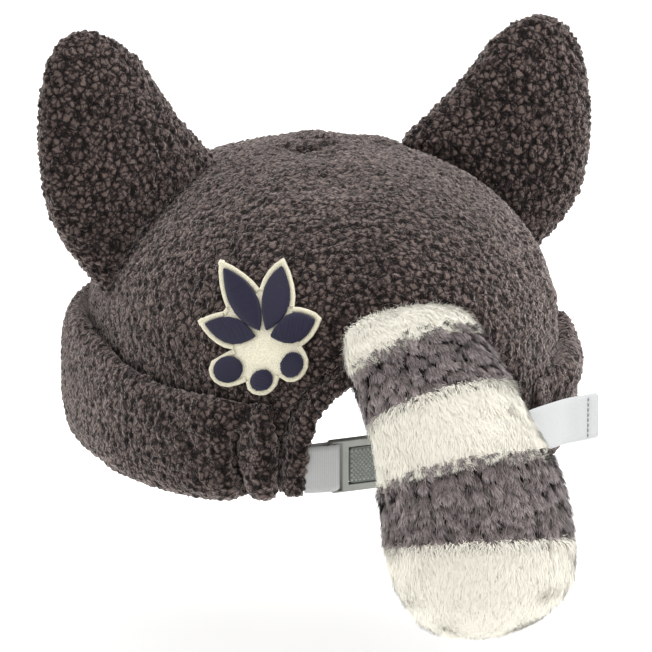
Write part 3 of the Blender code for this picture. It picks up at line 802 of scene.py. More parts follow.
def stripe_skin(name, start, end):
    """A stripe's closed skin, with the way its pile is brushed stored on each point."""
    steps = max(round((end - start) / SKIN_STEP), 4)
    points, headings, faces = [], [], []
    for step in range(steps + 1):
        ring, heading, middle = tail_ring(start + (end - start) * step / steps, SKIN_INSET)
        points += ring
        headings += [heading] * SKIN_SIDES
    for step in range(steps):
        low, high = step * SKIN_SIDES, (step + 1) * SKIN_SIDES
        for i in range(SKIN_SIDES):
            j = (i + 1) % SKIN_SIDES
            faces.append((low + i, high + i, high + j, low + j))
    for step in (0, steps):
        ring = points[step * SKIN_SIDES:(step + 1) * SKIN_SIDES]
        middle = sum(ring, Vector()) / SKIN_SIDES
        points.append(middle)
        headings.append(headings[step * SKIN_SIDES])
        for i in range(SKIN_SIDES):
            a, b = step * SKIN_SIDES + i, step * SKIN_SIDES + (i + 1) % SKIN_SIDES
            faces.append((a, b, len(points) - 1) if step == 0 else (b, a, len(points) - 1))
    mesh = bpy.data.meshes.new(name)
    mesh.from_pydata([tuple(point) for point in points], [], faces)
    face_outward(mesh)
    mesh.shade_smooth()
    set_attribute(mesh, "heading", "FLOAT_VECTOR", [tuple(heading) for heading in headings])
    return new_piece(name, mesh)


# %% One strand of pile
STRAND_WIDTH = 0.34 * MM


def one_strand():
    """One strand of pile, a unit long: it rises, then bends over along +Y from its widest place."""
    half = STRAND_WIDTH / 2
    points = [(0, 0, 0), (half, 0.1, 0.55), (-half, 0.1, 0.55), (0, 0.6, 0.85)]
    mesh = bpy.data.meshes.new("strand")
    mesh.from_pydata(points, [], [(0, 1, 2), (2, 1, 3)])
    set_attribute(mesh, "strand_along", "FLOAT", [0, 0.5, 0.5, 1])
    return new_piece("strand", mesh)


strand = one_strand()

# %% [markdown]
# ### Pile, the tree
# Points are scattered over a stripe's skin. Each strand's own Z axis points up from the skin, leaning
# a little towards its tuft's middle, and its Y axis points the way it bends over. Noise swings that
# way about, so the pile swirls. Each strand keeps a tone, lower towards its tuft's edge as painted
# shade, and the way that its skin faces, for the material.

# %% Pile tree


def pile_tree():
    tree, start, end = new_tree("plush_pile", {
        "Strand": "NodeSocketObject",
        "Strands per m2": "NodeSocketFloat",
        "Pile length": "NodeSocketFloat",
        "Lift": "NodeSocketFloat",
        "Clump size": "NodeSocketFloat",
        "Clump pull": "NodeSocketFloat",
        "End limit": "NodeSocketFloat",
        "Ruffle": "NodeSocketFloat",
        "Seed": "NodeSocketInt",
        "Material": "NodeSocketMaterial",
    })
    sizes = start.outputs
    heading = add(tree, "GeometryNodeInputNamedAttribute", {"Name": "heading"}, data_type="FLOAT_VECTOR")
    facing = add(
        tree, "ShaderNodeVectorMath",
        {0: heading.outputs[0], 1: add(tree, "GeometryNodeInputNormal").outputs[0]},
        operation="DOT_PRODUCT",
    )
    not_back = add(
        tree, "FunctionNodeCompare", {0: facing.outputs["Value"], 1: -END_LIMIT},
        operation="GREATER_THAN",
    )
    not_front = add(
        tree, "FunctionNodeCompare", {0: facing.outputs["Value"], 1: sizes["End limit"]},
        operation="LESS_THAN",
    )
    side = add(tree, "FunctionNodeBooleanMath", {0: not_back.outputs[0], 1: not_front.outputs[0]})
    points = add(
        tree, "GeometryNodeDistributePointsOnFaces",
        {
            "Mesh": sizes["Geometry"],
            "Selection": side.outputs[0],
            "Density": sizes["Strands per m2"],
            "Seed": sizes["Seed"],
        },
    )
    position = add(tree, "GeometryNodeInputPosition")
    broad = add(
        tree, "ShaderNodeTexNoise", {"Vector": position.outputs[0], "Scale": 110.0, "Detail": 2.0},
    )
    swing = add(
        tree, "ShaderNodeVectorMath", {0: broad.outputs["Color"], 1: (0.5, 0.5, 0.5)}, operation="SUBTRACT",
    )
    swung = add(
        tree, "ShaderNodeVectorMath", {0: swing.outputs[0], "Scale": sizes["Ruffle"]}, operation="SCALE",
    )
    clumps = add(tree, "ShaderNodeMath", {0: 1.0, 1: sizes["Clump size"]}, operation="DIVIDE")
    cells = add(
        tree, "ShaderNodeTexVoronoi", {"Vector": position.outputs[0], "Scale": clumps.outputs[0]},
    )
    to_middle = add(
        tree, "ShaderNodeVectorMath", {0: cells.outputs["Position"], 1: position.outputs[0]},
        operation="SUBTRACT",
    )
    pull = add(tree, "ShaderNodeMath", {0: sizes["Clump pull"], 1: clumps.outputs[0]}, operation="MULTIPLY")
    drawn = add(
        tree, "ShaderNodeVectorMath", {0: to_middle.outputs[0], "Scale": pull.outputs[0]},
        operation="SCALE",
    )
    stray = add(
        tree, "FunctionNodeRandomValue",
        {0: (-0.4, -0.4, -0.4), 1: (0.4, 0.4, 0.4), "Seed": 5}, data_type="FLOAT_VECTOR",
    )
    risen = add(
        tree, "ShaderNodeVectorMath",
        {0: points.outputs["Normal"], "Scale": sizes["Lift"]}, operation="SCALE",
    )
    lean = add(tree, "ShaderNodeVectorMath", {0: heading.outputs[0], 1: risen.outputs[0]}, operation="ADD")
    upright = add(tree, "ShaderNodeVectorMath", {0: lean.outputs[0], 1: drawn.outputs[0]}, operation="ADD")
    final = add(tree, "ShaderNodeVectorMath", {0: upright.outputs[0], 1: stray.outputs[0]}, operation="ADD")
    over = add(tree, "ShaderNodeVectorMath", {0: heading.outputs[0], 1: swung.outputs[0]}, operation="ADD")
    turned = add(tree, "ShaderNodeVectorMath", {0: over.outputs[0], 1: stray.outputs[0]}, operation="ADD")
    rotation = add(
        tree, "FunctionNodeAxesToRotation", {0: final.outputs[0], 1: turned.outputs[0]},
        primary_axis="Z", secondary_axis="Y",
    )
    stretch = add(tree, "FunctionNodeRandomValue", {2: 0.75, 3: 1.1, "Seed": 9}, data_type="FLOAT")
    long = add(
        tree, "ShaderNodeMath", {0: stretch.outputs[1], 1: sizes["Pile length"]}, operation="MULTIPLY",
    )
    scale = add(tree, "ShaderNodeCombineXYZ", {0: 1.0, 1: long.outputs[0], 2: long.outputs[0]})
    strand = add(tree, "GeometryNodeObjectInfo", {"Object": sizes["Strand"]})
    planted = add(
        tree, "GeometryNodeInstanceOnPoints",
        {
            "Points": points.outputs["Points"],
            "Instance": strand.outputs["Geometry"],
            "Rotation": rotation.outputs[0],
            "Scale": scale.outputs[0],
        },
    )
    tone = add(tree, "FunctionNodeRandomValue", {2: 0.0, 3: 1.0, "Seed": 3}, data_type="FLOAT")
    mixed = add(
        tree, "ShaderNodeMix", {0: 0.55, 2: tone.outputs[1], 3: cells.outputs["Color"]}, data_type="FLOAT",
    )
    # Strands far from their tuft's middle get a lower tone: painted shade for the gaps between tufts.
    edge = add(
        tree, "ShaderNodeMapRange",
        {
            "Value": cells.outputs["Distance"],
            "From Min": 0.15,
            "From Max": 0.75,
            "To Min": 0.15,
            "To Max": -0.2,
        },
    )
    tuft = add(tree, "ShaderNodeMath", {0: mixed.outputs[0], 1: edge.outputs[0]}, operation="ADD")
    toned = add(
        tree, "GeometryNodeStoreNamedAttribute",
        {"Geometry": planted.outputs[0], "Name": "strand_tone", "Value": tuft.outputs[0]},
        data_type="FLOAT", domain="INSTANCE",
    )
    faced = add(
        tree, "GeometryNodeStoreNamedAttribute",
        {"Geometry": toned.outputs[0], "Name": "skin_normal", "Value": points.outputs["Normal"]},
        data_type="FLOAT_VECTOR", domain="INSTANCE",
    )
    real = add(tree, "GeometryNodeRealizeInstances", {"Geometry": faced.outputs[0]})
    outward = add(
        tree, "GeometryNodeInputNamedAttribute", {"Name": "skin_normal"}, data_type="FLOAT_VECTOR",
    )
    soft = add(
        tree, "GeometryNodeSetMeshNormal",
        {"Mesh": real.outputs[0], "Custom Normal": outward.outputs[0]}, mode="FREE", domain="POINT",
    )
    bare = add(
        tree, "GeometryNodeStoreNamedAttribute",
        {
            "Geometry": sizes["Geometry"],
            "Name": "skin_normal",
            "Value": add(tree, "GeometryNodeInputNormal").outputs[0],
        },
        data_type="FLOAT_VECTOR",
    )
    joined = add(tree, "GeometryNodeJoinGeometry")
    tree.links.new(bare.outputs[0], joined.inputs[0])
    tree.links.new(soft.outputs[0], joined.inputs[0])
    dressed = add(
        tree, "GeometryNodeSetMaterial",
        {"Geometry": joined.outputs[0], "Material": sizes["Material"]},
    )
    tree.links.new(dressed.outputs[0], end.inputs[0])
    return tree


pile = pile_tree()
print("nodes in the pile tree:", len(pile.nodes))

# %% Planting the pile
for number, (node, slot, first, last) in enumerate(TAIL_STRIPES):
    root = moved_back(first, PILE_OVERHANG)
    edge = last if last == TAIL_STRIPES[-1][3] else moved_back(last, PILE_OVERHANG)
    stripe = stripe_skin(node + "_plush", root, edge)
    grow(stripe, pile, {
        "Strand": strand,
        "Strands per m2": STRANDS_PER_M2,
        "Pile length": PILE_LENGTH,
        "End limit": NO_LIMIT if last == TAIL_STRIPES[-1][3] else END_LIMIT,
        "Ruffle": 2.0,
        "Seed": number,
        "Material": plush[slot],
        **PILE_KINDS[slot],
    })
    count(stripe)
    belongs(stripe, node=node)
bpy.data.objects.remove(strand)

# %% [markdown]
# ## Threads and studs in rows
# Stitches, the satin threads of embroidery and the knurls of the clasp's pad are one small shape
# each, repeated. Each place in a row has its point, the way the shape runs, the way it faces and how
# far it reaches to each side. A Geometry Nodes tree plants the shape on every place.

# %% Planting in rows


def rows_tree():
    tree, start, end = new_tree("rows_of_shapes", {
        "Shape": "NodeSocketObject",
        "Material": "NodeSocketMaterial",
    })
    sizes = start.outputs
    fields = {
        name: add(tree, "GeometryNodeInputNamedAttribute", {"Name": name}, data_type=kind)
        for name, kind in (("across", "FLOAT_VECTOR"), ("out", "FLOAT_VECTOR"), ("reach", "FLOAT"))
    }
    rotation = add(
        tree, "FunctionNodeAxesToRotation",
        {0: fields["across"].outputs[0], 1: fields["out"].outputs[0]},
        primary_axis="X", secondary_axis="Z",
    )
    scale = add(tree, "ShaderNodeCombineXYZ", {0: fields["reach"].outputs[0], 1: 1.0, 2: 1.0})
    shape = add(tree, "GeometryNodeObjectInfo", {"Object": sizes["Shape"]})
    planted = add(
        tree, "GeometryNodeInstanceOnPoints",
        {
            "Points": sizes["Geometry"],
            "Instance": shape.outputs["Geometry"],
            "Rotation": rotation.outputs[0],
            "Scale": scale.outputs[0],
        },
    )
    real = add(tree, "GeometryNodeRealizeInstances", {"Geometry": planted.outputs[0]})
    dressed = add(
        tree, "GeometryNodeSetMaterial", {"Geometry": real.outputs[0], "Material": sizes["Material"]},
    )
    tree.links.new(dressed.outputs[0], end.inputs[0])
    return tree


rows_of_shapes = rows_tree()
print("nodes in the rows tree:", len(rows_of_shapes.nodes))

# %% Places in rows


def planted(name, shape, places, material):
    """A piece made of one shape on each of the places: (point, across, out, reach)."""
    mesh = bpy.data.meshes.new(name)
    mesh.from_pydata([tuple(place[0]) for place in places], [], [])
    set_attribute(mesh, "across", "FLOAT_VECTOR", [tuple(place[1]) for place in places])
    set_attribute(mesh, "out", "FLOAT_VECTOR", [tuple(place[2]) for place in places])
    set_attribute(mesh, "reach", "FLOAT", [place[3] for place in places])
    piece = new_piece(name, mesh)
    grow(piece, rows_of_shapes, {"Shape": shape, "Material": material})
    piece.data.shade_smooth()
    count(piece)
    return piece


# %% Threads


def thread_shape(radius, rise, stations=(-1, -0.92, -0.5, 0, 0.5, 0.92, 1), sides=6):
    """A thread that reaches from -1 to 1 along X, puffs up by rise and dives in at its ends."""
    points, faces = [], []
    for station in stations:
        height = rise * (1 - station**2) - (radius if abs(station) == 1 else 0)
        for side in range(sides):
            turn = 2 * math.pi * side / sides
            points.append((station, radius * math.cos(turn), height + radius * math.sin(turn)))
    for step in range(len(stations) - 1):
        for i in range(sides):
            j = (i + 1) % sides
            low, high = step * sides, (step + 1) * sides
            faces.append((low + i, low + j, high + j, high + i))
    faces.append(tuple(reversed(range(sides))))
    faces.append(tuple(range(len(points) - sides, len(points))))
    mesh = bpy.data.meshes.new("thread")
    mesh.from_pydata(points, [], faces)
    face_outward(mesh)
    return new_piece("thread", mesh)


TWIST_PITCH = 0.5 * MM


def thread_material(name, code, sheen):
    """Rayon embroidery thread: twisted, with a silky gloss that a fine bump breaks up."""
    made, tree, shader = new_material(name)
    coords = add(tree, "ShaderNodeTexCoord")
    twist = add(
        tree, "ShaderNodeTexNoise",
        {"Vector": coords.outputs["Object"], "Scale": 1 / TWIST_PITCH, "Detail": 2.0},
    )
    colour = add(tree, "ShaderNodeValToRGB", {"Fac": twist.outputs["Fac"]})
    stops = colour.color_ramp.elements
    full = linear(code)
    stops[0].position, stops[0].color = 0.3, (*(0.7 * value for value in full[:3]), 1.0)
    stops[1].position, stops[1].color = 0.6, full
    tree.links.new(colour.outputs["Color"], shader.inputs["Base Color"])
    bump = add(tree, "ShaderNodeBump", {"Height": twist.outputs["Fac"], "Distance": 0.1 * MM})
    tree.links.new(bump.outputs["Normal"], shader.inputs["Normal"])
    set_inputs(shader, {"Roughness": 0.55, "Specular IOR Level": 0.3, "Sheen Weight": sheen})
    return made


navy_thread = thread_material("rayon_thread_navy_satin_stitch", "#1b1833", 0.05)
cream_thread = thread_material("rayon_thread_cream_satin_stitch", "#dcd6c0", 0.1)
grey_thread = thread_material("polyester_thread_grey_lockstitch", "#85868a", 0.1)

# %% [markdown]
# ## Patch, the embroidery
# The patch is a sprig of leaves and berries in satin stitch: threads laid side by side across each
# shape, each diving into the cloth at the shape's edge. The solids give the shapes, so the threads
# are laid from edge to edge of each solid's outer face. A border of short threads runs along the
# backing's edge. The real threads are 0.4 mm apart, and these 0.6 mm, so that they show.

# %% Where the threads lie
THREAD_SPACING = 0.6 * MM
THREAD_RADIUS = 0.36 * MM
BORDER_REACH = 1.25 * MM
BORDER_INSET = 1.0 * MM
PATCH_FACES_OUT = Vector((0.4, 0.9, 0.3)).normalized()


def outer_edge(node):
    """The loop round a solid's outer face, the way that face looks and its tree for lookups."""
    shaped = bmesh.new()
    shaped.from_mesh(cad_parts[node].data)
    bmesh.ops.remove_doubles(shaped, verts=shaped.verts, dist=0.001 * MM)
    shaped.normal_update()
    hidden = [face for face in shaped.faces if face.normal.dot(PATCH_FACES_OUT) < 0.6]
    bmesh.ops.delete(shaped, geom=hidden, context="FACES")
    tree = BVHTree.FromBMesh(shaped)
    normal = sum((face.normal * face.calc_area() for face in shaped.faces), Vector()).normalized()
    edges = [edge for edge in shaped.edges if edge.is_boundary]
    vert = edges[0].verts[0]
    loop, used = [vert.co.copy()], set()
    while True:
        following = [e for e in vert.link_edges if e.is_boundary and e not in used]
        if not following:
            break
        used.add(following[0])
        vert = following[0].other_vert(vert)
        loop.append(vert.co.copy())
    shaped.free()
    return loop, normal, tree


def evenly(loop, spacing):
    """Points along a closed loop, a spacing apart, each with the loop's direction there."""
    lengths = [(b - a).length for a, b in zip(loop, loop[1:])]
    total, total_steps = sum(lengths), round(sum(lengths) / spacing)
    found, index, before = [], 0, 0.0
    for step in range(total_steps):
        along = total * step / total_steps
        while before + lengths[index] < along:
            before += lengths[index]
            index += 1
        a, b = loop[index], loop[index + 1]
        found.append((a.lerp(b, (along - before) / lengths[index]), (b - a).normalized()))
    return found


def border_places(node):
    loop, normal, tree = outer_edge(node)
    centre = sum(loop, Vector()) / len(loop)
    area = sum(((a - centre).cross(b - centre) for a, b in zip(loop, loop[1:])), Vector())
    side = 1 if area.dot(normal) > 0 else -1
    places = []
    for point, along in evenly(loop, THREAD_SPACING):
        inward = normal.cross(along).normalized() * side
        place = point + inward * BORDER_INSET
        found, out, _, _ = tree.find_nearest(place)
        places.append((found, inward, out, BORDER_REACH))
    return places


def fill_places(node, centre):
    """Threads laid across a shape, side by side from its inner end to its outer end."""
    loop, normal, tree = outer_edge(node)
    middle = sum(loop, Vector()) / len(loop)
    along = middle - centre
    along = (along - normal * along.dot(normal)).normalized()
    across = normal.cross(along)
    flat = [((point - middle).dot(along), (point - middle).dot(across)) for point in loop]
    first, last = min(x for x, y in flat), max(x for x, y in flat)
    places = []
    for step in range(1, round((last - first) / THREAD_SPACING)):
        x = first + step * THREAD_SPACING
        cuts = []
        for (xa, ya), (xb, yb) in zip(flat, flat[1:]):
            if (xa - x) * (xb - x) < 0:
                cuts.append(ya + (yb - ya) * (x - xa) / (xb - xa))
        if len(cuts) < 2 or max(cuts) - min(cuts) < THREAD_SPACING:
            continue
        place = middle + along * x + across * (max(cuts) + min(cuts)) / 2
        found, out, _, _ = tree.find_nearest(place)
        places.append((found, across, out, (max(cuts) - min(cuts)) / 2 + THREAD_RADIUS / 2))
    return places


# %% Patch embroidery
patch_loop = outer_edge("patch_backing")[0]
patch_centre = sum(patch_loop, Vector()) / len(patch_loop)
border_thread = thread_shape(THREAD_RADIUS, 0.45 * MM)
fill_thread = thread_shape(THREAD_RADIUS, 0.35 * MM)
border = planted("patch_border_satin", border_thread, border_places("patch_backing"), cream_thread)
belongs(border)
sprigs = [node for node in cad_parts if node.startswith(("patch_leaf", "patch_berry"))]
for node in sorted(sprigs):
    satin = planted(node + "_satin", fill_thread, fill_places(node, patch_centre), navy_thread)
    belongs(satin)
    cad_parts[node].material_slots[0].material = navy_thread
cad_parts["patch_backing"].material_slots[0].material = cream_thread
bpy.data.objects.remove(border_thread)
bpy.data.objects.remove(fill_thread)

# %% [markdown]
# ## Straps, the webbing
# Polyester webbing is woven flat and tight: fine ribs run across it, and its edges are turned in
# selvedges. Each strap is a ribbon swept along its route, which is the solid's own. Every point
# stores how far along and across the strap it lies, so the weave follows the strap round its turns.
# The long strap's end is folded over into a hem and stitched down. The short strap's sewn end goes
# on into the facing, past the end of its solid.

# %% Webbing material
RIB_PITCH = 0.8 * MM
WARP_PITCH = 0.7 * MM


def wave(tree, value, pitch):
    """A sine wave of a length in metres."""
    turns = add(tree, "ShaderNodeMath", {0: value, 1: 2 * math.pi / pitch}, operation="MULTIPLY")
    return add(tree, "ShaderNodeMath", {0: turns.outputs[0]}, operation="SINE").outputs[0]


def webbing_material():
    made, tree, shader = new_material("polyester_webbing_grey_plain_weave")
    place = add(tree, "ShaderNodeAttribute", attribute_name="weave_place")
    parts = add(tree, "ShaderNodeSeparateXYZ", {0: place.outputs["Vector"]})
    weft = wave(tree, parts.outputs[0], RIB_PITCH)
    warp = wave(tree, parts.outputs[1], WARP_PITCH)
    crossing = add(tree, "ShaderNodeMath", {0: weft, 1: warp}, operation="MULTIPLY")
    rib = add(tree, "ShaderNodeMath", {0: weft, 1: crossing.outputs[0]}, operation="ADD")
    height = add(
        tree, "ShaderNodeMapRange", {"Value": rib.outputs[0], "From Min": -1.6, "From Max": 1.6},
    )
    uneven = add(
        tree, "ShaderNodeTexNoise", {"Vector": place.outputs["Vector"], "Scale": 900.0, "Detail": 2.0},
    )
    mixed = add(
        tree, "ShaderNodeMix", {0: 0.35, 2: height.outputs[0], 3: uneven.outputs["Fac"]},
        data_type="FLOAT",
    )
    ramp = add(tree, "ShaderNodeValToRGB", {"Fac": mixed.outputs[0]})
    stops = ramp.color_ramp.elements
    stops[0].position, stops[0].color = 0.1, linear("#9fa0a1")
    stops[1].position, stops[1].color = 0.8, linear("#b9babb")
    tree.links.new(ramp.outputs["Color"], shader.inputs["Base Color"])
    bump = add(
        tree, "ShaderNodeBump", {"Height": height.outputs[0], "Distance": 0.2 * MM, "Strength": 0.4},
    )
    tree.links.new(bump.outputs["Normal"], shader.inputs["Normal"])
    set_inputs(shader, {"Roughness": 0.65, "Specular IOR Level": 0.3, "Sheen Weight": 0.1})
    return made


webbing = webbing_material()
print("made", webbing.name)

# %% Strap sizes
STRAP_WIDTH = 20.5 * MM
STRAP_THICKNESS = 1.6 * MM
STRAP_MIDDLE = 16.3 * MM
STRAP_ROOT = 44.9 * MM
CHORD_Y = 98 * MM
CHORD_SLOPE = 0.08
STRAP_TAIL_ROUTE = (
    # the long strap's way from the clasp to its end, in mm
    ("x", "y", "z"),
    (-8, 100.6, 16.4),
    (-26, 105.5, 18.5),
    (-41, 113, 22.7),
    (-54, 111.5, 25.8),
    (-66.5, 102.5, 25.2),
    (-78, 91.5, 23.4),
    (-87.5, 85.5, 22.3),
    (-97, 80.5, 21.6),
)
CLASP_LEFT = 36 * MM
CLASP_LENGTH = 38 * MM
CLASP_BAR = 2.6 * MM
CLASP_THICKNESS = 5 * MM
BAR_STEP = 1.2 * MM
LOOP_CLEARANCE = 0.3 * MM
LOOP_RADIUS = math.hypot(CLASP_BAR / 2, CLASP_THICKNESS / 2 - BAR_STEP)
LOOP_RADIUS += STRAP_THICKNESS / 2 + LOOP_CLEARANCE
ROOT_TUCK = 2.5 * MM
HEM_LENGTH = 6 * MM
HEM_THICKNESS = 2.7 * MM
STITCH_PITCH = 2.3 * MM


print("stations of the long strap:", len(STRAP_TAIL_ROUTE) - 1)

# %% Strap shapes


def chord(x, outward=0.0):
    """A point on the straight line across the arch that the strap and clasp lie along."""
    across = Vector((1, CHORD_SLOPE, 0)).normalized()
    out = Vector((-across.y, across.x, 0))
    return Vector((0, CHORD_Y, STRAP_MIDDLE)) + across * x + out * outward


def bar_turn(centre_x, first, last, steps=8):
    """Points of a half turn round one of the clasp's bars."""
    turns = [math.radians(first + (last - first) * i / steps) for i in range(steps + 1)]
    return [
        chord(centre_x + LOOP_RADIUS * math.cos(turn), LOOP_RADIUS * math.sin(turn)) for turn in turns
    ]


def strap_section(thickness, columns=10):
    """Half-turns at the edges and flat faces between, as (across, outward) round the strap."""
    half_width, half = STRAP_WIDTH / 2, thickness / 2
    section = []
    for side in (1, -1):
        for column in range(columns + 1):
            across = side * (half_width - half) * (1 - 2 * column / columns)
            section.append((across, side * half))
        section.append((-side * half_width, 0))
    return section


def strap(name, route, hem=0.0):
    """A ribbon of webbing along a route. Returns it, its length and its last frames."""
    points = [through(route, i / 3) for i in range(3 * (len(route) - 1) + 1)]
    points = [Vector(point) for point in points]
    lengths = [0.0]
    for a, b in zip(points, points[1:]):
        lengths.append(lengths[-1] + (b - a).length)
    verts, weave, faces, frames = [], [], [], []
    for i, point in enumerate(points):
        heading = (points[min(i + 1, len(points) - 1)] - points[max(i - 1, 0)]).normalized()
        out = Vector((heading.y, -heading.x, 0)).normalized()
        hemmed = hem and lengths[-1] - lengths[i] < hem
        section = strap_section(HEM_THICKNESS if hemmed else STRAP_THICKNESS)
        for across, outward in section:
            verts.append(point + Vector((0, 0, across)) + out * outward)
            weave.append((lengths[i], across, 0))
        frames.append((point, heading, out, lengths[i]))
    sides = len(section)
    for step in range(len(points) - 1):
        for i in range(sides):
            j = (i + 1) % sides
            low, high = step * sides, (step + 1) * sides
            faces.append((low + i, low + j, high + j, high + i))
    faces.append(tuple(range(sides)))
    faces.append(tuple(range(len(verts) - sides, len(verts))))
    mesh = bpy.data.meshes.new(name)
    mesh.from_pydata([tuple(vert) for vert in verts], [], faces)
    face_outward(mesh)
    set_attribute(mesh, "weave_place", "FLOAT_VECTOR", weave)
    mesh.materials.append(webbing)
    mesh.shade_smooth()
    mesh.set_sharp_from_angle(angle=math.radians(50))
    piece = new_piece(name, mesh)
    count(piece)
    print(name, "length in mm:", round(lengths[-1] / MM, 1))
    return piece, lengths[-1], frames


# %% Straps
left_bar = CLASP_LEFT - CLASP_BAR / 2
left_route = [
    chord(STRAP_ROOT + ROOT_TUCK, 0.2 * LOOP_RADIUS),
    chord(STRAP_ROOT - 3 * MM, 0.7 * LOOP_RADIUS),
    chord(left_bar + 4 * MM, LOOP_RADIUS),
]
left_route += bar_turn(left_bar, 90, 270)
left_route += [chord(left_bar + 4 * MM, -LOOP_RADIUS), chord(left_bar + 9 * MM, -LOOP_RADIUS)]

right_bar = CLASP_LEFT - CLASP_LENGTH + CLASP_BAR / 2
right_route = [chord(-STRAP_ROOT, -0.6 * LOOP_RADIUS), chord(right_bar - 12 * MM, -0.8 * LOOP_RADIUS)]
right_route += bar_turn(right_bar, -90, 90)
tail_stations = STRAP_TAIL_ROUTE[1:]
tail_places = [i / 3 for i in range(2, 3 * (len(tail_stations) - 1) + 1)]
right_route += [Vector(through(tail_stations, place)) * MM for place in tail_places]

short_strap, short_length, _ = strap("strap_left_webbing", left_route)
long_strap, long_length, long_frames = strap("strap_right_webbing", right_route, HEM_LENGTH)

# %% Hem stitches
stitch = thread_shape(0.3 * MM, 0.25 * MM)
hem_point, _, hem_out, _ = min(
    long_frames, key=lambda item: abs(long_length - HEM_LENGTH - 0.5 * MM - item[3])
)
stitch_count = int(STRAP_WIDTH / STITCH_PITCH)
hem_places = []
for side in (1, -1):
    for number in range(stitch_count):
        height = (number - (stitch_count - 1) / 2) * STITCH_PITCH
        place = hem_point + Vector((0, 0, height)) + hem_out * side * STRAP_THICKNESS / 2
        hem_places.append((place, Vector((0, 0, 1)), hem_out * side, 0.85 * MM))
hem_stitches = planted("strap_right_hem_stitches", stitch, hem_places, grey_thread)
bpy.data.objects.remove(stitch)

belongs(short_strap, node="strap_left")
belongs(long_strap, node="strap_right")
belongs(hem_stitches)

# %% [markdown]
# ## Clasp, the moulding
# The clasp is moulded in acetal: matt, with the fine texture of a spark-eroded mould and small
# radii along its edges. The copies of its solids are merged and bevelled. The cam lever has a
# pad of diamond knurls for the thumb, small pyramids in staggered rows. The lever is coloured a
# darker grey than the frame: painted shade, for the grooves between the knurls.

# %% Clasp material
MOULD_GRAIN = 0.35 * MM


def moulded_material(name, dark, light):
    made, tree, shader = new_material(name)
    coords = add(tree, "ShaderNodeTexCoord")
    grain = add(
        tree, "ShaderNodeTexNoise",
        {"Vector": coords.outputs["Object"], "Scale": 1 / MOULD_GRAIN, "Detail": 2.0},
    )
    flow = add(tree, "ShaderNodeTexNoise", {"Vector": coords.outputs["Object"], "Scale": 120.0})
    mixed = add(
        tree, "ShaderNodeMix", {0: 0.5, 2: grain.outputs["Fac"], 3: flow.outputs["Fac"]},
        data_type="FLOAT",
    )
    ramp = add(tree, "ShaderNodeValToRGB", {"Fac": mixed.outputs[0]})
    stops = ramp.color_ramp.elements
    stops[0].position, stops[0].color = 0.3, linear(dark)
    stops[1].position, stops[1].color = 0.7, linear(light)
    tree.links.new(ramp.outputs["Color"], shader.inputs["Base Color"])
    bump = add(
        tree, "ShaderNodeBump", {"Height": grain.outputs["Fac"], "Distance": 0.05 * MM, "Strength": 0.5},
    )
    tree.links.new(bump.outputs["Normal"], shader.inputs["Normal"])
    set_inputs(shader, {"Roughness": 0.42, "IOR": 1.48})
    return made


moulded = moulded_material("acetal_grey_moulded_matt", "#8f928e", "#a0a39e")
# The lever is the same acetal made darker: painted shade for the grooves between its knurls.
lever_painted_shade = moulded_material("acetal_grey_moulded_matt_painted_shade", "#5d625f", "#6c716d")
print("made", moulded.name, "and", lever_painted_shade.name)

# %% Clasp frame and lever
CLASP_RADIUS = 0.3 * MM


def bevelled(name, node, body, material):
    """A copy of a solid with its flat faces whole and small radii along its edges."""
    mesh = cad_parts[node].data.copy()
    mesh.materials.clear()
    mesh.materials.append(material)
    shaped = bmesh.new()
    shaped.from_mesh(mesh)
    bmesh.ops.remove_doubles(shaped, verts=shaped.verts, dist=0.001 * MM)
    bmesh.ops.dissolve_limit(
        shaped, angle_limit=math.radians(1), verts=shaped.verts, edges=shaped.edges
    )
    edges = [edge for edge in shaped.edges if edge.calc_face_angle(0) > math.radians(40)]
    bmesh.ops.bevel(
        shaped, geom=edges, offset=CLASP_RADIUS, segments=2, profile=0.5,
        affect="EDGES", clamp_overlap=True,
    )
    shaped.to_mesh(mesh)
    shaped.free()
    mesh.shade_smooth()
    mesh.set_sharp_from_angle(angle=math.radians(35))
    piece = new_piece(name, mesh)
    belongs(piece, body, node)
    count(piece)
    return piece


bevelled("clasp_frame_moulding", "clasp_frame", "hat", moulded)
clasp_lever = bevelled("clasp_lever_moulding", "clasp_lever", "clasp_lever", lever_painted_shade)

# %% Knurls
LEVER_HEIGHT = 15.4 * MM
KNURL_ACROSS = 1.9 * MM
KNURL_UP = 2.1 * MM
KNURL_HEIGHT = 0.7 * MM
KNURL_ROOT = 0.3 * MM
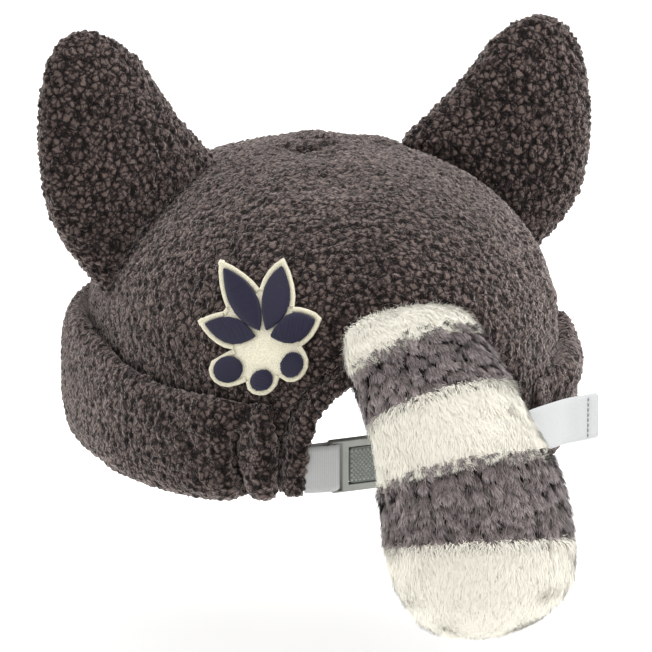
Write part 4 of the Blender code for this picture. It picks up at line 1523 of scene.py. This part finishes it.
# How much of its pitch a knurl's base takes up, and of its base its blunt top
KNURL_SHARE = 0.88
KNURL_TOP = 0.2
KNURL_MARGIN = 1.1 * MM
HUB_MARGIN = 3.6 * MM


def knurl_shape():
    """A small blunt pyramid on a diamond base, rooted below the face that it stands on."""
    half, up = KNURL_SHARE * KNURL_ACROSS / 2, KNURL_SHARE * KNURL_UP / 2
    points = [(half, 0, 0), (0, up, 0), (-half, 0, 0), (0, -up, 0)]
    points += [(x * KNURL_TOP, y * KNURL_TOP, KNURL_HEIGHT) for x, y, z in points[:4]]
    points += [(x, y, -KNURL_ROOT) for x, y, z in points[:4]]
    faces = [(4, 5, 6, 7), (11, 10, 9, 8)]
    for i in range(4):
        j = (i + 1) % 4
        faces.append((i, j, j + 4, i + 4))
        faces.append((i + 8, j + 8, j, i))
    mesh = bpy.data.meshes.new("knurl")
    mesh.from_pydata(points, [], faces)
    return new_piece("knurl", mesh)


chord_way = Vector((1, CHORD_SLOPE, 0)).normalized()
chord_out = Vector((-chord_way.y, chord_way.x, 0))
lever_face = max(vert.co.dot(chord_out) for vert in clasp_lever.data.vertices)
lever_span = [vert.co.dot(chord_way) for vert in clasp_lever.data.vertices]
pad_right, pad_left = min(lever_span) + HUB_MARGIN, max(lever_span) - KNURL_MARGIN
pad_half = LEVER_HEIGHT / 2 - KNURL_MARGIN
knurl_places = []
columns = int((pad_left - pad_right) / (KNURL_ACROSS / 2)) + 1
for column in range(columns):
    rows = int(pad_half / KNURL_UP)
    for row in range(-rows, rows + 1):
        up = (row + 0.5 * (column % 2)) * KNURL_UP
        if abs(up) > pad_half:
            continue
        along = pad_left - column * KNURL_ACROSS / 2
        point = chord_way * along + chord_out * lever_face + Vector((0, 0, STRAP_MIDDLE + up))
        knurl_places.append((point, chord_way, chord_out, 1.0))
print("knurls:", len(knurl_places))
knurl = knurl_shape()
knurls = planted("clasp_lever_knurls", knurl, knurl_places, moulded)
knurls.data.shade_flat()
belongs(knurls, "clasp_lever")
bpy.data.objects.remove(knurl)
